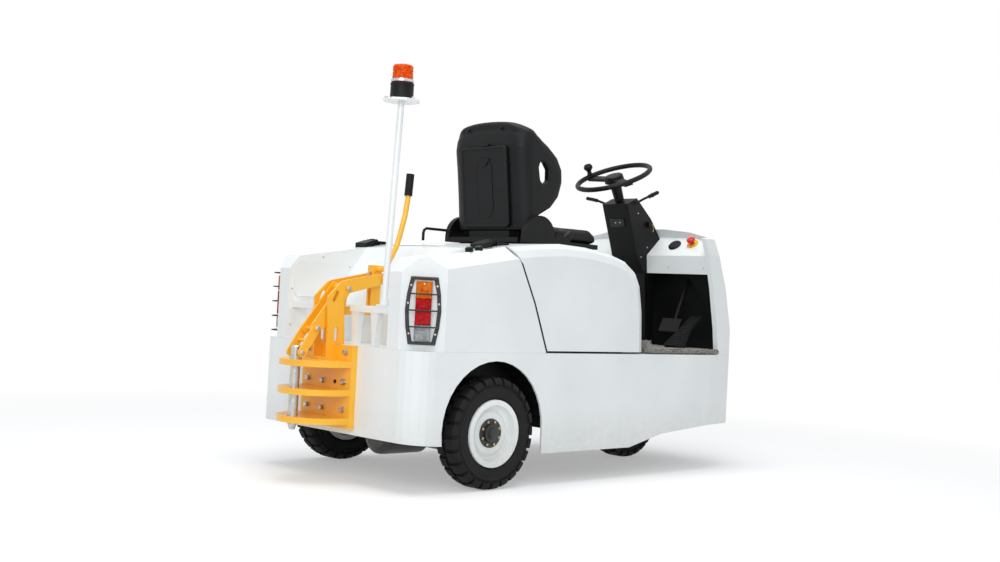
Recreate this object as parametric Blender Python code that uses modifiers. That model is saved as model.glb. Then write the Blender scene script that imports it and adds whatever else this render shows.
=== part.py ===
"""Airport baggage tug: three-wheel electric tow tractor with a rear pin hitch.

Metres, +X forward, +Y left,
+Z up. Inside the script x is counted from the rear axle and z from the ground.
The empty named tug_origin carries every piece and puts the middle of the overall length at the world origin.
"""
import bmesh
import bpy
import math
from mathutils import Matrix, Vector

for old in list(bpy.data.objects):
    bpy.data.objects.remove(old)

# ---------------------------------------------------------------- driving dimensions
GAP = 0.0003              # between pieces that touch
RUNNING = 0.005           # between pieces that move past each other
CUT_OVER = 0.02           # how far a cutter runs past the face it cuts

WHEELBASE = 1.304
TYRE_RADIUS = 0.2075
TYRE_WIDTH = 0.105
RIM_RADIUS = 0.122
TRACK_OUTER = 0.490       # outer face of a rear tyre from the centreline

HALF_WIDTH = 0.480        # body side plates
BODY_REAR = -0.390
BODY_FRONT = 1.575
BODY_BOTTOM = 0.119
FLOOR_TOP = 0.505         # top of the lower body, which is the driver's floor
PLATE = 0.008             # lower body plate
REAR_CORNER = 0.090       # radius in plan
TAPER_START = 1.311       # where the side plates turn in towards the nose

ARCH_RADIUS = 0.256
ARCH_CENTRE_Z = 0.218
LINER = 0.004

PANEL = 0.010             # cowl and hood walls
PANEL_HALF = HALF_WIDTH - 0.002      # cowl and hood half width
COWL_REAR = -0.388
FACET_START = 0.374       # half width where the lamp facet leaves the rear face
FACET_END_X = -0.262
COWL_DECK_X = -0.345      # where the rear corner chamfer meets the deck
DECK_REAR_Z = 0.832
DECK_FRONT_Z = 0.898
SHOULDER_DROP = 0.047
SHOULDER_IN = 0.045
SEAM = ((0.261, 0.507), (0.182, 0.692), (0.103, 0.839), (0.056, 0.898), (0.015, 0.950))
SEAM_GAP = 0.006
HOOD_LIFT = 0.008         # gap under the hood
HOOD_HINGE = (0.045, 0.915)

RECESS_HALF = 0.310
RECESS_FLOOR_X = -0.190   # foot of the recess's sloping front wall
RECESS_TOP_X = -0.005

HITCH_HALF = 0.150
HITCH_PLATE = 0.025
JAW_TOPS = (0.446, 0.343, 0.240)
JAW_THICK = 0.022
JAW_ARC_X = -0.449        # centre of the rounded rear edge
BACK_PLATE_LOW = 0.200
BACK_PLATE_HIGH = 0.504
PIN_X = -0.556
PIN_RADIUS = 0.018
PIN_LOW = 0.190
PIN_HIGH = 0.496

CRANK_PIVOT = (-0.374, 0.714)
LEVER_PIVOT = (-0.211, 0.755)
LINK_PIVOT = (-0.497, 0.560)
LINK_EYE = (PIN_X, 0.471)
CRANK_ARM = 0.0875        # crank pivot to connecting rod joint
CRANK_ARM_ANGLE = -100.0
LEVER_TAIL = (-0.217, 0.632)

MAST_Y = -(RECESS_HALF - 0.073)
MAST_FOOT = (-0.350, MAST_Y, 0.657)
MAST_TOP = (-0.320, MAST_Y, 1.404)
MAST_RADIUS = 0.012

CUSHION_FRONT = 0.846
SEAT_HALF = 0.215

WHEEL_CENTRE = (1.155, 1.290)     # steering wheel, x and z
WHEEL_RADIUS = 0.172
WHEEL_GRIP = 0.0115
COLUMN_TILT = 25.5                # column axis from vertical, towards the driver

DASH_EDGE = (1.330, 0.942)
DASH_LIP = (1.450, 1.050)
FASCIA_LOW = 0.860

BATTERY_REAR = 0.290
BATTERY_FRONT = 0.800
BATTERY_HALF = 0.400
BATTERY_TOP = 0.790
RAIL_IN = 0.240
RAIL_OUT = 0.280
RAIL_LOW = 0.275
RAIL_HIGH = 0.335
TURNTABLE_TOP = 0.478
MID_CROSS = WHEELBASE - 0.424

# Nose and cowls
# The nose in plan: distance behind the front, half width.
NOSE = ((0.055, 0.430), (0.030, 0.398), (0.014, 0.345), (0.004, 0.220), (0.0, 0.090))
# The hood from the side, along its top from the rear to the foot of its front wall.
HOOD_LINE = ((-0.30, 0.866), (0.062, 0.902), (0.200, 0.918), (0.350, 0.929), (0.500, 0.925),
             (0.630, 0.911),
             (0.730, 0.886), (0.797, 0.845), (0.830, 0.790), (0.852, 0.683), (0.865, 0.512),
             (0.880, 0.300))
# Front cowl levels: height, how far its face leans back, how far its sides lean in.
COWL_LEANS = ((FLOOR_TOP + GAP, 0, 0), (0.620, 0, 0.002), (0.800, 0.039, 0.008), (0.950, 0.088, 0.018),
              (1.030, 0.120, 0.032), (1.090, 0.150, 0.046))
COWL_WALL = 0.022
OPENING = ((0.505, 1.392), (0.940, 1.312), (1.100, 1.282))    # rear edge of the cowl: height, x
CHAMFER = ((0, 1), (1, 0))
ROUNDED = ((0, 1), (0.25, 0.40), (0.6, 0.10), (1, 0))

# Wheels and fork
TYRE_MID = TRACK_OUTER - TYRE_WIDTH / 2
HUB_RADIUS = 0.034
AXLE_END = TYRE_MID - 0.012      # where the axle meets the turning hub
FORK_IN = TYRE_WIDTH / 2 + 0.004 + RUNNING
FORK_TOP = 0.452

# Driver's place
COLUMN_HALF = 0.076
COLUMN_FRONT = 1.400
COLUMN_FOOT = 1.355
HUB_REACH = 0.118         # steering wheel centre to the top of the column
KNOB_ANGLE = 80.0
SPOKE_SPREAD = 162.0
# driver's side of the footwell liner, x and z
LINER_FACE = ((1.499, FLOOR_TOP + GAP), (1.424, 0.990))
LINER_SHEET = 0.006
MAT_TOP = 0.529
BACK_REAR = ((0.376, 0.985), (0.352, 1.170), (0.330, 1.340), (0.334, 1.385))
LID_HALF = 0.138
LID_LOW = 0.998
LID_HIGH = 1.330
LID_THICK = 0.014
SEAT_FLOOR = 0.956

# Lamps and stands
LAMP_LOW = 0.543
LAMP_HIGH = 0.751
LAMP_HALF = 0.029
STAND_TOP = 0.653
STAND_LOW = 0.628

# Hitch linkage
NECK_Y = 0.036
NECK_THICK = 0.010
CRANK_Y = 0.021
CRANK_THICK = 0.010
LINK_Y = 0.0315
LINK_THICK = 0.008
POST_Y = 0.0085
POST_THICK = 0.008
BAR_HALF = 0.006
BOLT = 0.009
PLAY = 0.0004
# The hand lever's tube above its boss, in the plane of the boss and then to the right of it.
HANDLE = ((-0.211, 0.0, 0.792), (-0.211, -0.038, 0.790), (-0.208, -0.055, 0.797), (-0.200, -0.060, 0.812),
          (-0.163, -0.060, 0.877), (-0.147, -0.060, 0.928), (-0.127, -0.060, 1.007),
          (-0.117, -0.060, 1.073),
          (-0.112, -0.060, 1.150))
TUBE = 0.0105

HITCH_REAR = JAW_ARC_X - (HITCH_HALF - 0.002)
REAR_AXLE_X = -(BODY_FRONT + HITCH_REAR) / 2

# ---------------------------------------------------------------- scene and helpers
ORIGIN = bpy.data.objects.new("tug_origin", None)
bpy.context.scene.collection.objects.link(ORIGIN)
ORIGIN.location = (REAR_AXLE_X, 0, 0)
PARTS = bpy.data.collections.new("baggage_tug")
CUTTERS = bpy.data.collections.new("cutters")
for group in (PARTS, CUTTERS):
    bpy.context.scene.collection.children.link(group)


def material(name, colour, roughness, metallic=0.0):
    made = bpy.data.materials.new(name)
    made.use_nodes = True
    shader = made.node_tree.nodes["Principled BSDF"]
    shader.inputs["Base Color"].default_value = (*colour, 1)
    shader.inputs["Roughness"].default_value = roughness
    shader.inputs["Metallic"].default_value = metallic
    return made


FINISHES = {
    "white_paint": ((0.86, 0.88, 0.88), 0.35, 0.0),
    "yellow_paint": ((0.93, 0.47, 0.02), 0.40, 0.0),
    "chassis_paint": ((0.34, 0.32, 0.27), 0.60, 0.0),
    "black_paint": ((0.02, 0.02, 0.02), 0.45, 0.0),
    "black_plastic": ((0.022, 0.024, 0.027), 0.50, 0.0),
    "seat_vinyl": ((0.020, 0.022, 0.026), 0.55, 0.0),
    "tyre_rubber": ((0.018, 0.018, 0.018), 0.80, 0.0),
    "steel": ((0.60, 0.60, 0.58), 0.35, 1.0),
    "lamp_lens": ((0.55, 0.01, 0.01), 0.15, 0.0),
    "beacon_lens": ((0.90, 0.16, 0.01), 0.15, 0.0),
    "headlamp_lens": ((0.80, 0.82, 0.85), 0.10, 0.0),
    "stop_red": ((0.70, 0.02, 0.02), 0.30, 0.0),
    "carpet": ((0.10, 0.095, 0.09), 0.95, 0.0),
    "battery_case": ((0.05, 0.06, 0.07), 0.60, 0.0),
}
MATERIALS = {name: material(name, *values) for name, values in FINISHES.items()}


def add(name, mesh, finish=None):
    """An object for a finished mesh: a part if it has a finish, and a cutter or building block if not."""
    piece = bpy.data.objects.new(name, mesh)
    piece.parent = ORIGIN
    if finish:
        PARTS.objects.link(piece)
        mesh.materials.append(MATERIALS[finish])
    else:
        CUTTERS.objects.link(piece)
        piece.hide_render = True
        piece.display_type = "WIRE"
    return piece


def mesh_from(work, name):
    mesh = bpy.data.meshes.new(name)
    bmesh.ops.recalc_face_normals(work, faces=work.faces)
    work.to_mesh(mesh)
    work.free()
    return mesh


def box(name, low, high, finish=None):
    size = [b - a for a, b in zip(low, high)]
    centre = [(a + b) / 2 for a, b in zip(low, high)]
    work = bmesh.new()
    bmesh.ops.create_cube(work, size=1, matrix=Matrix.Translation(centre) @ Matrix.Diagonal((*size, 1)))
    return add(name, mesh_from(work, name), finish)


def rod(name, start, end, radius, finish=None, end_radius=None, sides=24):
    """A round bar or cone between two points."""
    start = Vector(start)
    along = Vector(end) - start
    turn = Vector((0, 0, 1)).rotation_difference(along).to_matrix().to_4x4()
    work = bmesh.new()
    bmesh.ops.create_cone(work, cap_ends=True, segments=sides, radius1=radius,
                          radius2=radius if end_radius is None else end_radius, depth=along.length,
                          matrix=Matrix.Translation(start + along / 2) @ turn)
    return add(name, mesh_from(work, name), finish)


def from_curve(name, curve, place, finish):
    """The curve's solid as a welded mesh in the tug's frame."""
    guide = bpy.data.objects.new(name + "_guide", curve)
    CUTTERS.objects.link(guide)
    bpy.context.view_layer.update()
    mesh = bpy.data.meshes.new_from_object(guide.evaluated_get(bpy.context.evaluated_depsgraph_get()))
    bpy.data.objects.remove(guide)
    mesh.name = name
    mesh.transform(place)
    work = bmesh.new()
    work.from_mesh(mesh)
    bmesh.ops.remove_doubles(work, verts=work.verts, dist=1e-5)
    bmesh.ops.recalc_face_normals(work, faces=work.faces)
    work.to_mesh(mesh)
    work.free()
    mesh.materials.clear()
    return add(name, mesh, finish)


# Which world axes a flat outline's two coordinates and its thickness run along.
PLANES = {
    "XY": Matrix(((1, 0, 0, 0), (0, 1, 0, 0), (0, 0, 1, 0), (0, 0, 0, 1))),
    "XZ": Matrix(((1, 0, 0, 0), (0, 0, -1, 0), (0, 1, 0, 0), (0, 0, 0, 1))),
    "YZ": Matrix(((0, 0, 1, 0), (1, 0, 0, 0), (0, 1, 0, 0), (0, 0, 0, 1))),
}


def prism(name, outlines, plane, low, high, finish=None, place=None):
    """Flat outlines, the first one outside and the rest holes, given a thickness from low to high."""
    curve = bpy.data.curves.new(name, "CURVE")
    curve.dimensions = "2D"
    curve.fill_mode = "BOTH"
    curve.extrude = (high - low) / 2
    for outline in outlines:
        spline = curve.splines.new("POLY")
        spline.points.add(len(outline) - 1)
        for point, (u, v) in zip(spline.points, outline):
            point.co = (u, v, 0, 1)
        spline.use_cyclic_u = True
    middle = (low + high) / 2
    shift = {"XY": (0, 0, middle), "XZ": (0, middle, 0), "YZ": (middle, 0, 0)}[plane]
    return from_curve(name, curve, (place or Matrix()) @ Matrix.Translation(shift) @ PLANES[plane],
                      finish)


def pipe(name, points, radius, finish=None, resolution=2, smooth=False):
    """A round bar bent through the points."""
    curve = bpy.data.curves.new(name, "CURVE")
    curve.dimensions = "3D"
    curve.bevel_depth = radius
    curve.bevel_resolution = resolution
    curve.use_fill_caps = True
    curve.resolution_u = 4
    spline = curve.splines.new("NURBS" if smooth else "POLY")
    spline.points.add(len(points) - 1)
    for point, place in zip(spline.points, points):
        point.co = (*place, 1)
    spline.use_endpoint_u = True
    spline.order_u = 3
    return from_curve(name, curve, Matrix(), finish)


def turned(name, profile, centre, direction, finish=None, steps=36):
    """A profile of (radius, height) points, from the top down, turned about a line through centre."""
    work = bmesh.new()
    corners = [work.verts.new((radius, 0, height)) for radius, height in profile]
    for first, second in zip(corners, corners[1:]):
        work.edges.new((first, second))
    if profile[0][0] > 0:
        work.edges.new((corners[-1], corners[0]))
    mesh = bpy.data.meshes.new(name)
    work.to_mesh(mesh)
    work.free()
    piece = add(name, mesh, finish)
    turn = Vector((0, 0, 1)).rotation_difference(Vector(direction)).to_matrix().to_4x4()
    piece.matrix_basis = Matrix.Translation(centre) @ turn
    screw = piece.modifiers.new("turn", "SCREW")
    screw.steps = steps
    screw.render_steps = steps
    screw.use_merge_vertices = True
    screw.merge_threshold = 0.00005
    screw.use_normal_calculate = False
    return piece


def loft(name, rings, finish=None):
    """Rings with equal numbers of points, joined in order and closed at both ends."""
    work = bmesh.new()
    rows = [[work.verts.new(point) for point in ring] for ring in rings]
    count = len(rows[0])
    for below, above in zip(rows, rows[1:]):
        for index in range(count):
            after = (index + 1) % count
            work.faces.new((below[index], below[after], above[after], above[index]))
    work.faces.new(rows[0])
    work.faces.new(rows[-1])
    return add(name, mesh_from(work, name), finish)


def boolean(piece, other, operation):
    step = piece.modifiers.new(operation.lower(), "BOOLEAN")
    step.operation = operation
    step.solver = "EXACT"
    step.object = other


def cut(piece, *others):
    for other in others:
        boolean(piece, other, "DIFFERENCE")
    return piece


def join(piece, *others):
    for other in others:
        boolean(piece, other, "UNION")
    return piece


def common(piece, *others):
    for other in others:
        boolean(piece, other, "INTERSECT")
    return piece


def round_edges(piece, width, segments=2, angle=40):
    bevel = piece.modifiers.new("round", "BEVEL")
    bevel.width = width
    bevel.segments = segments
    bevel.limit_method = "ANGLE"
    bevel.angle_limit = math.radians(angle)
    return piece


def move_origin(piece, point):
    """Puts the piece's origin on its joint, and leaves its shape where it is."""
    shift = Vector(point)
    inverse = piece.matrix_basis.inverted()
    piece.data.transform(Matrix.Translation(-(inverse @ shift)))
    piece.matrix_basis = piece.matrix_basis @ Matrix.Translation(inverse @ shift)
    return piece


def arc(centre, radius, first, last, count):
    """Points on an arc, angles in degrees."""
    steps = [math.radians(first + (last - first) * index / (count - 1)) for index in range(count)]
    return [(centre[0] + radius * math.cos(angle),
             centre[1] + radius * math.sin(angle)) for angle in steps]


def mirrored(half):
    """A closed outline from its +y half, whose first and last points are on or beside the centreline."""
    return half + [(x, -y) for x, y in reversed(half)]


def offset(outline, distance):
    """A closed outline moved inwards by a distance, or outwards if it is negative."""
    area = sum(a[0] * b[1] - b[0] * a[1] for a, b in zip(outline, outline[1:] + outline[:1]))
    sign = 1 if area > 0 else -1
    moved = []
    for before, here, after in zip(outline[-1:] + outline[:-1], outline, outline[1:] + outline[:1]):
        first = (Vector(here) - Vector(before)).normalized()
        second = (Vector(after) - Vector(here)).normalized()
        normal = (Vector((-first.y, first.x)) + Vector((-second.y, second.x))) * sign
        moved.append(tuple(Vector(here) + normal * distance * 2 / normal.length_squared))
    return moved


SIDES = (("left", 1), ("right", -1))


# ---------------------------------------------------------------- lower body and chassis


def body_plan(inset):
    """The lower body from above: rounded rear corners, straight sides, tapered nose with a slight bow."""
    half = HALF_WIDTH - inset
    rear = BODY_REAR + inset
    radius = REAR_CORNER - inset
    points = arc((rear + radius, half - radius), radius, 180, 90, 6)
    points.append((TAPER_START - inset / 2, half))
    points += [(BODY_FRONT - inset - back, y - inset * (y > 0.3)) for back, y in NOSE]
    return mirrored(points)


def lower_body():
    shell = prism("lower_body", [body_plan(0)], "XY", BODY_BOTTOM, FLOOR_TOP, "white_paint")
    hollow = prism("body_hollow", [body_plan(PLATE)], "XY", 0, FLOOR_TOP - PLATE)
    arch = arc((0, ARCH_CENTRE_Z), ARCH_RADIUS, 180, 0, 19) + [(0.262, 0), (-0.237, 0)]
    arches = prism("arch_cut", [arch], "XZ", -1, 1)
    # lower edge of the skirt ahead of the arches, and behind them
    ahead = [(0.200, 0.122), (0.782, 0.122), (0.990, 0.170), (TAPER_START, 0.196), (1.700, 0.192),
             (1.700, 0), (0.200, 0)]
    behind = [(-0.500, 0.185), (-0.200, 0.168), (-0.200, 0), (-0.500, 0)]
    trims = [prism("skirt_trim_front", [ahead], "XZ", -1, 1),
             prism("skirt_trim_rear", [behind], "XZ", -1, 1)]
    well = box("battery_well", (BATTERY_REAR - 0.01, -BATTERY_HALF - 0.01, FLOOR_TOP - 0.05),
               (BATTERY_FRONT + 0.01, BATTERY_HALF + 0.01, FLOOR_TOP + 0.05))
    return cut(shell, hollow, arches, *trims, well)


def chassis():
    frame = box("chassis_frame", (-0.340, RAIL_IN, RAIL_LOW), (1.480, RAIL_OUT, RAIL_HIGH),
                "chassis_paint")
    right = box("rail_right", (-0.340, -RAIL_OUT, RAIL_LOW), (1.480, -RAIL_IN, RAIL_HIGH))
    pieces = [right]
    under_floor = FLOOR_TOP - PLATE - GAP
    # columns: name, low corner, high corner
    members = (
        ("rear_cross", (-0.340, -RAIL_OUT, RAIL_LOW), (-0.300, RAIL_OUT, RAIL_HIGH)),
        ("mid_cross", (MID_CROSS - 0.02, -RAIL_OUT, RAIL_LOW), (MID_CROSS + 0.02, RAIL_OUT, RAIL_HIGH)),
        ("steering_plate", (WHEELBASE - 0.15, -RAIL_OUT, TURNTABLE_TOP),
         (WHEELBASE + 0.15, RAIL_OUT, under_floor)),
    )
    pieces += [box(name, low, high) for name, low, high in members]
    for side, sign in SIDES:
        low_y, high_y = sorted((sign * RAIL_IN, sign * RAIL_OUT))
        for station, x in (("rear", -0.320), ("mid", MID_CROSS), ("nose", WHEELBASE)):
            pieces.append(box(f"riser_{station}_{side}", (x - 0.03, low_y, RAIL_HIGH - 0.01),
                              (x + 0.03, high_y, under_floor)))
    join(frame, *pieces)
    box("battery_block", (BATTERY_REAR, -BATTERY_HALF, RAIL_HIGH + GAP),
        (BATTERY_FRONT, BATTERY_HALF, BATTERY_TOP),
        "battery_case")


def arch_liners():
    """A curved inner guard over each rear wheel, with a flat plate on its inner side."""
    outer = ARCH_RADIUS + 0.012
    inner = outer - LINER
    inboard = TRACK_OUTER - TYRE_WIDTH - 0.030
    for side, sign in SIDES:
        band = arc((0, ARCH_CENTRE_Z), outer, 180, 0, 19) + arc((0, ARCH_CENTRE_Z), inner, 0, 180, 19)
        low, high = sorted((sign * inboard, sign * (HALF_WIDTH - PLATE - GAP)))
        liner = prism(f"arch_liner_{side}", [band], "XZ", low, high, "black_plastic")
        low, high = sorted((sign * inboard, sign * (inboard + LINER)))
        disc = arc((0, ARCH_CENTRE_Z), outer - LINER / 2, 180, 0, 19)
        plate = prism(f"liner_plate_{side}", [disc], "XZ", low, high)
        hole = rod(f"liner_hole_{side}", (0, -1, TYRE_RADIUS), (0, 1, TYRE_RADIUS), 0.085)
        join(liner, cut(plate, hole))


# ---------------------------------------------------------------- running gear


def tyre(name, y):
    half = TYRE_WIDTH / 2
    outer = [(TYRE_RADIUS - 0.020, half - 0.004), (TYRE_RADIUS - 0.006, half - 0.012),
             (TYRE_RADIUS, half - 0.028)]
    bead = [(RIM_RADIUS + 0.004, half - 0.012), (RIM_RADIUS + 0.024, half)]
    profile = bead + outer + [(radius, -height) for radius, height in reversed(bead + outer)]
    profile += [(RIM_RADIUS - 0.010, -half + 0.020), (RIM_RADIUS - 0.010, half - 0.020)]
    return turned(name, profile, (0, y, 0), (0, 1, 0), "tyre_rubber")


def rim(name, y, out):
    """A dished rim: flanges at both sides, and a disc set in from the outer one."""
    half = TYRE_WIDTH / 2
    flange = RIM_RADIUS + 0.004 - GAP
    well = RIM_RADIUS - 0.010 - GAP
    disc = 0.018
    profile = [
        (flange, half - 0.012 + GAP), (flange - 0.001, half - 0.004), (well - 0.006, half - 0.004),
        (well - 0.008, disc), (0.088, disc - 0.002), (0.076, disc + 0.006),
        (HUB_RADIUS + 0.020, disc + 0.006),
        (HUB_RADIUS + 0.020, disc - 0.004), (0.078, disc - 0.004), (0.090, disc - 0.012),
        (well - 0.008, disc - 0.010),
        (well - 0.006, -half + 0.004), (flange - 0.001, -half + 0.004), (flange, -half + 0.012 - GAP),
        (well, -half + 0.020 - GAP), (well, half - 0.020 + GAP),
    ]
    # The profile runs round its own loop, so its order is turned to go down the outer side.
    loop = [profile[0]] + profile[:0:-1]
    return turned(name, loop, (0, y, 0), (0, out, 0), "white_paint")


def hub(name, y, out):
    """Bolt flange and cap that the rim sits on."""
    disc = 0.018
    profile = [(0, disc + 0.033), (0.020, disc + 0.031), (0.024, disc + 0.020),
               (HUB_RADIUS, disc + 0.018),
               (HUB_RADIUS + 0.002, disc + 0.010), (HUB_RADIUS + 0.020 - GAP, disc + 0.010),
               (HUB_RADIUS + 0.020 - GAP, disc - 0.012), (HUB_RADIUS + 0.010, disc - 0.020),
               (HUB_RADIUS + 0.010, -0.012 + GAP), (0, -0.012 + GAP)]
    return turned(name, profile, (0, y, 0), (0, out, 0), "black_paint")


def rear_wheels():
    for side, sign in SIDES:
        y = sign * TYRE_MID
        for piece in (tyre(f"rear_tyre_{side}", y), rim(f"rear_rim_{side}", y, sign),
                      hub(f"rear_hub_{side}", y, sign)):
            piece.location.z = TYRE_RADIUS


def rear_axle():
    z = TYRE_RADIUS
    axle = rod("rear_axle", (0, -AXLE_END, z), (0, AXLE_END, z), 0.040, "chassis_paint")
    case = box("axle_case", (-0.070, -0.300, z - 0.085), (0.070, 0.300, z + 0.052))
    round_edges(case, 0.018)
    pads = [box(f"axle_pad_{side}", (-0.06, sign * 0.26 - 0.02, z + 0.04),
                (0.06, sign * 0.26 + 0.02, RAIL_LOW - GAP))
            for side, sign in SIDES]
    join(axle, case, *pads)
    motor = [(0, 0.100), (0.060, 0.100), (0.082, 0.088), (0.085, 0.070), (0.085, -0.100), (0, -0.100)]
    turned("drive_motor", motor, (-0.070 - GAP - 0.100, -0.130, z - 0.022), (-1, 0, 0), "black_paint", 32)


def front_fork():
    """The swivelling turntable, its fork and the wheel in it."""
    x = WHEELBASE
    fork = box("steering_fork", (x - 0.07, -FORK_IN - 0.014, 0.428),
               (x + 0.07, FORK_IN + 0.014, FORK_TOP), "black_paint")
    leg = [(-0.070, FORK_TOP), (0.070, FORK_TOP), (0.045, 0.230)]
    leg += arc((0, TYRE_RADIUS), 0.045, 0, -180, 9) + [(-0.045, 0.230)]
    leg = [(x + u, v) for u, v in leg]
    legs = [prism(f"fork_leg_{side}", [leg], "XZ", *sorted((sign * FORK_IN, sign * (FORK_IN + 0.014))))
            for side, sign in SIDES]
    ring = rod("fork_ring", (x, 0, FORK_TOP - 0.002), (x, 0, TURNTABLE_TOP - GAP), 0.110, sides=36)
    axle = rod("fork_axle", (x, -FORK_IN - 0.024, TYRE_RADIUS), (x, FORK_IN + 0.024, TYRE_RADIUS), 0.012)
    join(fork, ring, *legs, axle)
    move_origin(fork, (x, 0, FORK_TOP))
    front_tyre = tyre("front_tyre", 0)
    half = TYRE_WIDTH / 2
    flange = RIM_RADIUS + 0.004 - GAP
    well = RIM_RADIUS - 0.010 - GAP
    bore = 0.012 + GAP
    side = [(bore, half + 0.004), (0.030, half + 0.004), (0.034, half - 0.016),
            (well - 0.012, half - 0.022),
            (well - 0.008, half - 0.006), (flange - 0.001, half - 0.006), (flange, half - 0.012 + GAP),
            (well, half - 0.020 + GAP)]
    profile = side + [(radius, -height) for radius, height in reversed(side)]
    front_rim = turned("front_rim", profile, (0, 0, 0), (0, 1, 0), "white_paint")
    for piece in (front_tyre, front_rim):
        piece.location.x = x
        piece.location.z = TYRE_RADIUS


# ---------------------------------------------------------------- rear cowl and hood
def crowned_block(name, outline, half, drop, share_steps, inward=SHOULDER_IN, finish=None):
    """A thick outline in XZ whose long edges are eased: (share of the way in, share of the drop) steps."""
    inner = offset(outline, drop)
    work = bmesh.new()
    rows = []
    for (x, z), (inner_x, inner_z) in zip(outline, inner):
        row = []
        for share, down in share_steps:
            row.append((x + (inner_x - x) * down, half - inward * share, z + (inner_z - z) * down))
        row += [(x, -y, z) for x, y, z in reversed(row)]
        rows.append([work.verts.new(point) for point in row])
    count = len(rows[0])
    for index, row in enumerate(rows):
        after = rows[(index + 1) % len(rows)]
        for step in range(count - 1):
            work.faces.new((row[step], row[step + 1], after[step + 1], after[step]))
    work.faces.new([row[0] for row in rows])
    work.faces.new([row[-1] for row in rows])
    return add(name, mesh_from(work, name), finish)


def rear_cowl():
    slope = (DECK_FRONT_Z - DECK_REAR_Z) / (SEAM[3][0] - COWL_DECK_X)
    beyond = (0.40, DECK_REAR_Z + slope * (0.40 - COWL_DECK_X))
    outline = [(COWL_REAR, 0.30), (COWL_REAR, 0.781), (COWL_DECK_X, DECK_REAR_Z), beyond, (0.40, 0.30)]
    plan = mirrored([(COWL_REAR, FACET_START), (FACET_END_X, PANEL_HALF), (0.50, PANEL_HALF)])
    base = FLOOR_TOP + GAP
    cowl = crowned_block("rear_cowl_block", outline, PANEL_HALF, SHOULDER_DROP, CHAMFER)
    hollow = crowned_block("cowl_hollow", offset(outline, PANEL), PANEL_HALF - PANEL, SHOULDER_DROP,
                           CHAMFER)
    common(hollow, prism("cowl_hollow_plan", [offset(plan, PANEL)], "XY", 0, 1))
    recess = [(-0.60, 0.40), (RECESS_FLOOR_X, 0.40), (RECESS_FLOOR_X, 0.65),
              (RECESS_TOP_X, DECK_FRONT_Z - 0.002),
              (RECESS_TOP_X + 0.07, 1.0), (-0.60, 1.0)]
    grown = prism("recess_grown", [offset(recess, -PANEL)], "XZ", -RECESS_HALF - PANEL,
                  RECESS_HALF + PANEL)
    cut(hollow, grown)
    seam = [(-0.60, base)] + [(SEAM[0][0], base)] + list(SEAM[1:]) + [(-0.60, 0.95)]
    keep = prism("rear_cowl", [seam], "XZ", -0.6, 0.6, "white_paint")
    common(keep, cowl, prism("cowl_plan", [plan], "XY", 0, 1))
    cut(keep, hollow, prism("recess", [recess], "XZ", -RECESS_HALF, RECESS_HALF))
    return keep


def hood_block(name, inset):
    outline = [(-0.30, 0.30)] + list(HOOD_LINE)
    return crowned_block(name, offset(outline, inset), PANEL_HALF - inset, SHOULDER_DROP - 0.2 * inset,
                         ROUNDED)


def battery_hood():
    base = FLOOR_TOP + HOOD_LIFT
    rear = [(x + SEAM_GAP * 1.12, z) for x, z in SEAM]
    outline = [(rear[0][0], base), (1.0, base), (1.0, 1.0), (rear[4][0], 1.0)] + rear[:0:-1]
    hood = prism("battery_hood", [outline], "XZ", -0.6, 0.6, "white_paint")
    common(hood, hood_block("hood_outer", 0))
    cut(hood, hood_block("hood_inner", PANEL))
    return move_origin(hood, (HOOD_HINGE[0], 0, HOOD_HINGE[1]))


def hood_hinges():
    """Two black hinges at the rear edge of the hood, each with a leaf and knuckle on the deck."""
    x, z = HOOD_HINGE
    for side, sign in SIDES:
        y = sign * 0.352
        deck = prism(f"deck_hinge_{side}", [[(x - 0.060, z - 0.030), (x - 0.060, z - 0.010),
                                             (x - 0.010, z + 0.006),
                                             (x + 0.004, z + 0.009), (x + 0.004, z - 0.030)]],
                     "XZ", y - 0.035, y + 0.035, "black_plastic")
        knuckle = rod(f"deck_knuckle_{side}", (x, y - 0.0120, z), (x, y + 0.0120, z), 0.011)
        slot = box(f"deck_slot_{side}", (x - 0.013, y - 0.035 - CUT_OVER, z - 0.040),
                   (x + 0.013, y + 0.035 + CUT_OVER, z + 0.03))
        web = box(f"deck_web_{side}", (x - 0.014, y - 0.0120, z - 0.016), (x, y + 0.0120, z))
        join(cut(deck, slot), knuckle, web)
        under = prism(f"deck_under_{side}", [[(x - 0.1, 0.7), (x - 0.1, deck_z(x - 0.1) + GAP),
                                              (x + 0.1, deck_z(x + 0.1) + GAP), (x + 0.1, 0.7)]], "XZ",
                                              -0.5, 0.5)
        cut(deck, under, rod(f"deck_bore_{side}", (x, -0.6, z), (x, 0.6, z), 0.0046))


def deck_z(x):
    return DECK_REAR_Z + (DECK_FRONT_Z - DECK_REAR_Z) * (x - COWL_DECK_X) / (SEAM[3][0] - COWL_DECK_X)


def hood_leaves():
    """The hinge leaves that ride on the hood, each with the pin that turns in the deck knuckle."""
    x, z = HOOD_HINGE
    for side, sign in SIDES:
        y = sign * 0.352
        leaf = box(f"hood_hinge_{side}", (x + 0.012, y - 0.035, z - 0.030),
                   (x + 0.075, y + 0.035, z + 0.002), "black_plastic")
        pin = rod(f"hinge_pin_{side}", (x, y - 0.030, z), (x, y + 0.030, z), 0.004)
        join(leaf, pin)
        for end in (-1, 1):
            low, high = sorted((y + end * 0.0135, y + end * 0.030))
            join(leaf, rod(f"leaf_knuckle_{side}_{end}", (x, low, z), (x, high, z), 0.009),
                 box(f"leaf_web_{side}_{end}", (x, low, z - 0.006), (x + 0.020, high, z + 0.002)))
        above = [(x - 0.2, 0.5)] + [(u, v + GAP) for u, v in HOOD_LINE[:3]] + [(0.2, 0.5)]
        cut(leaf, prism(f"leaf_under_{side}", [above], "XZ", -0.5, 0.5),
            box(f"leaf_rear_{side}", (x + 0.0, y - 0.0130, z - 0.02),
                (x + 0.014, y + 0.0130, z - 0.0042)))


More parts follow.
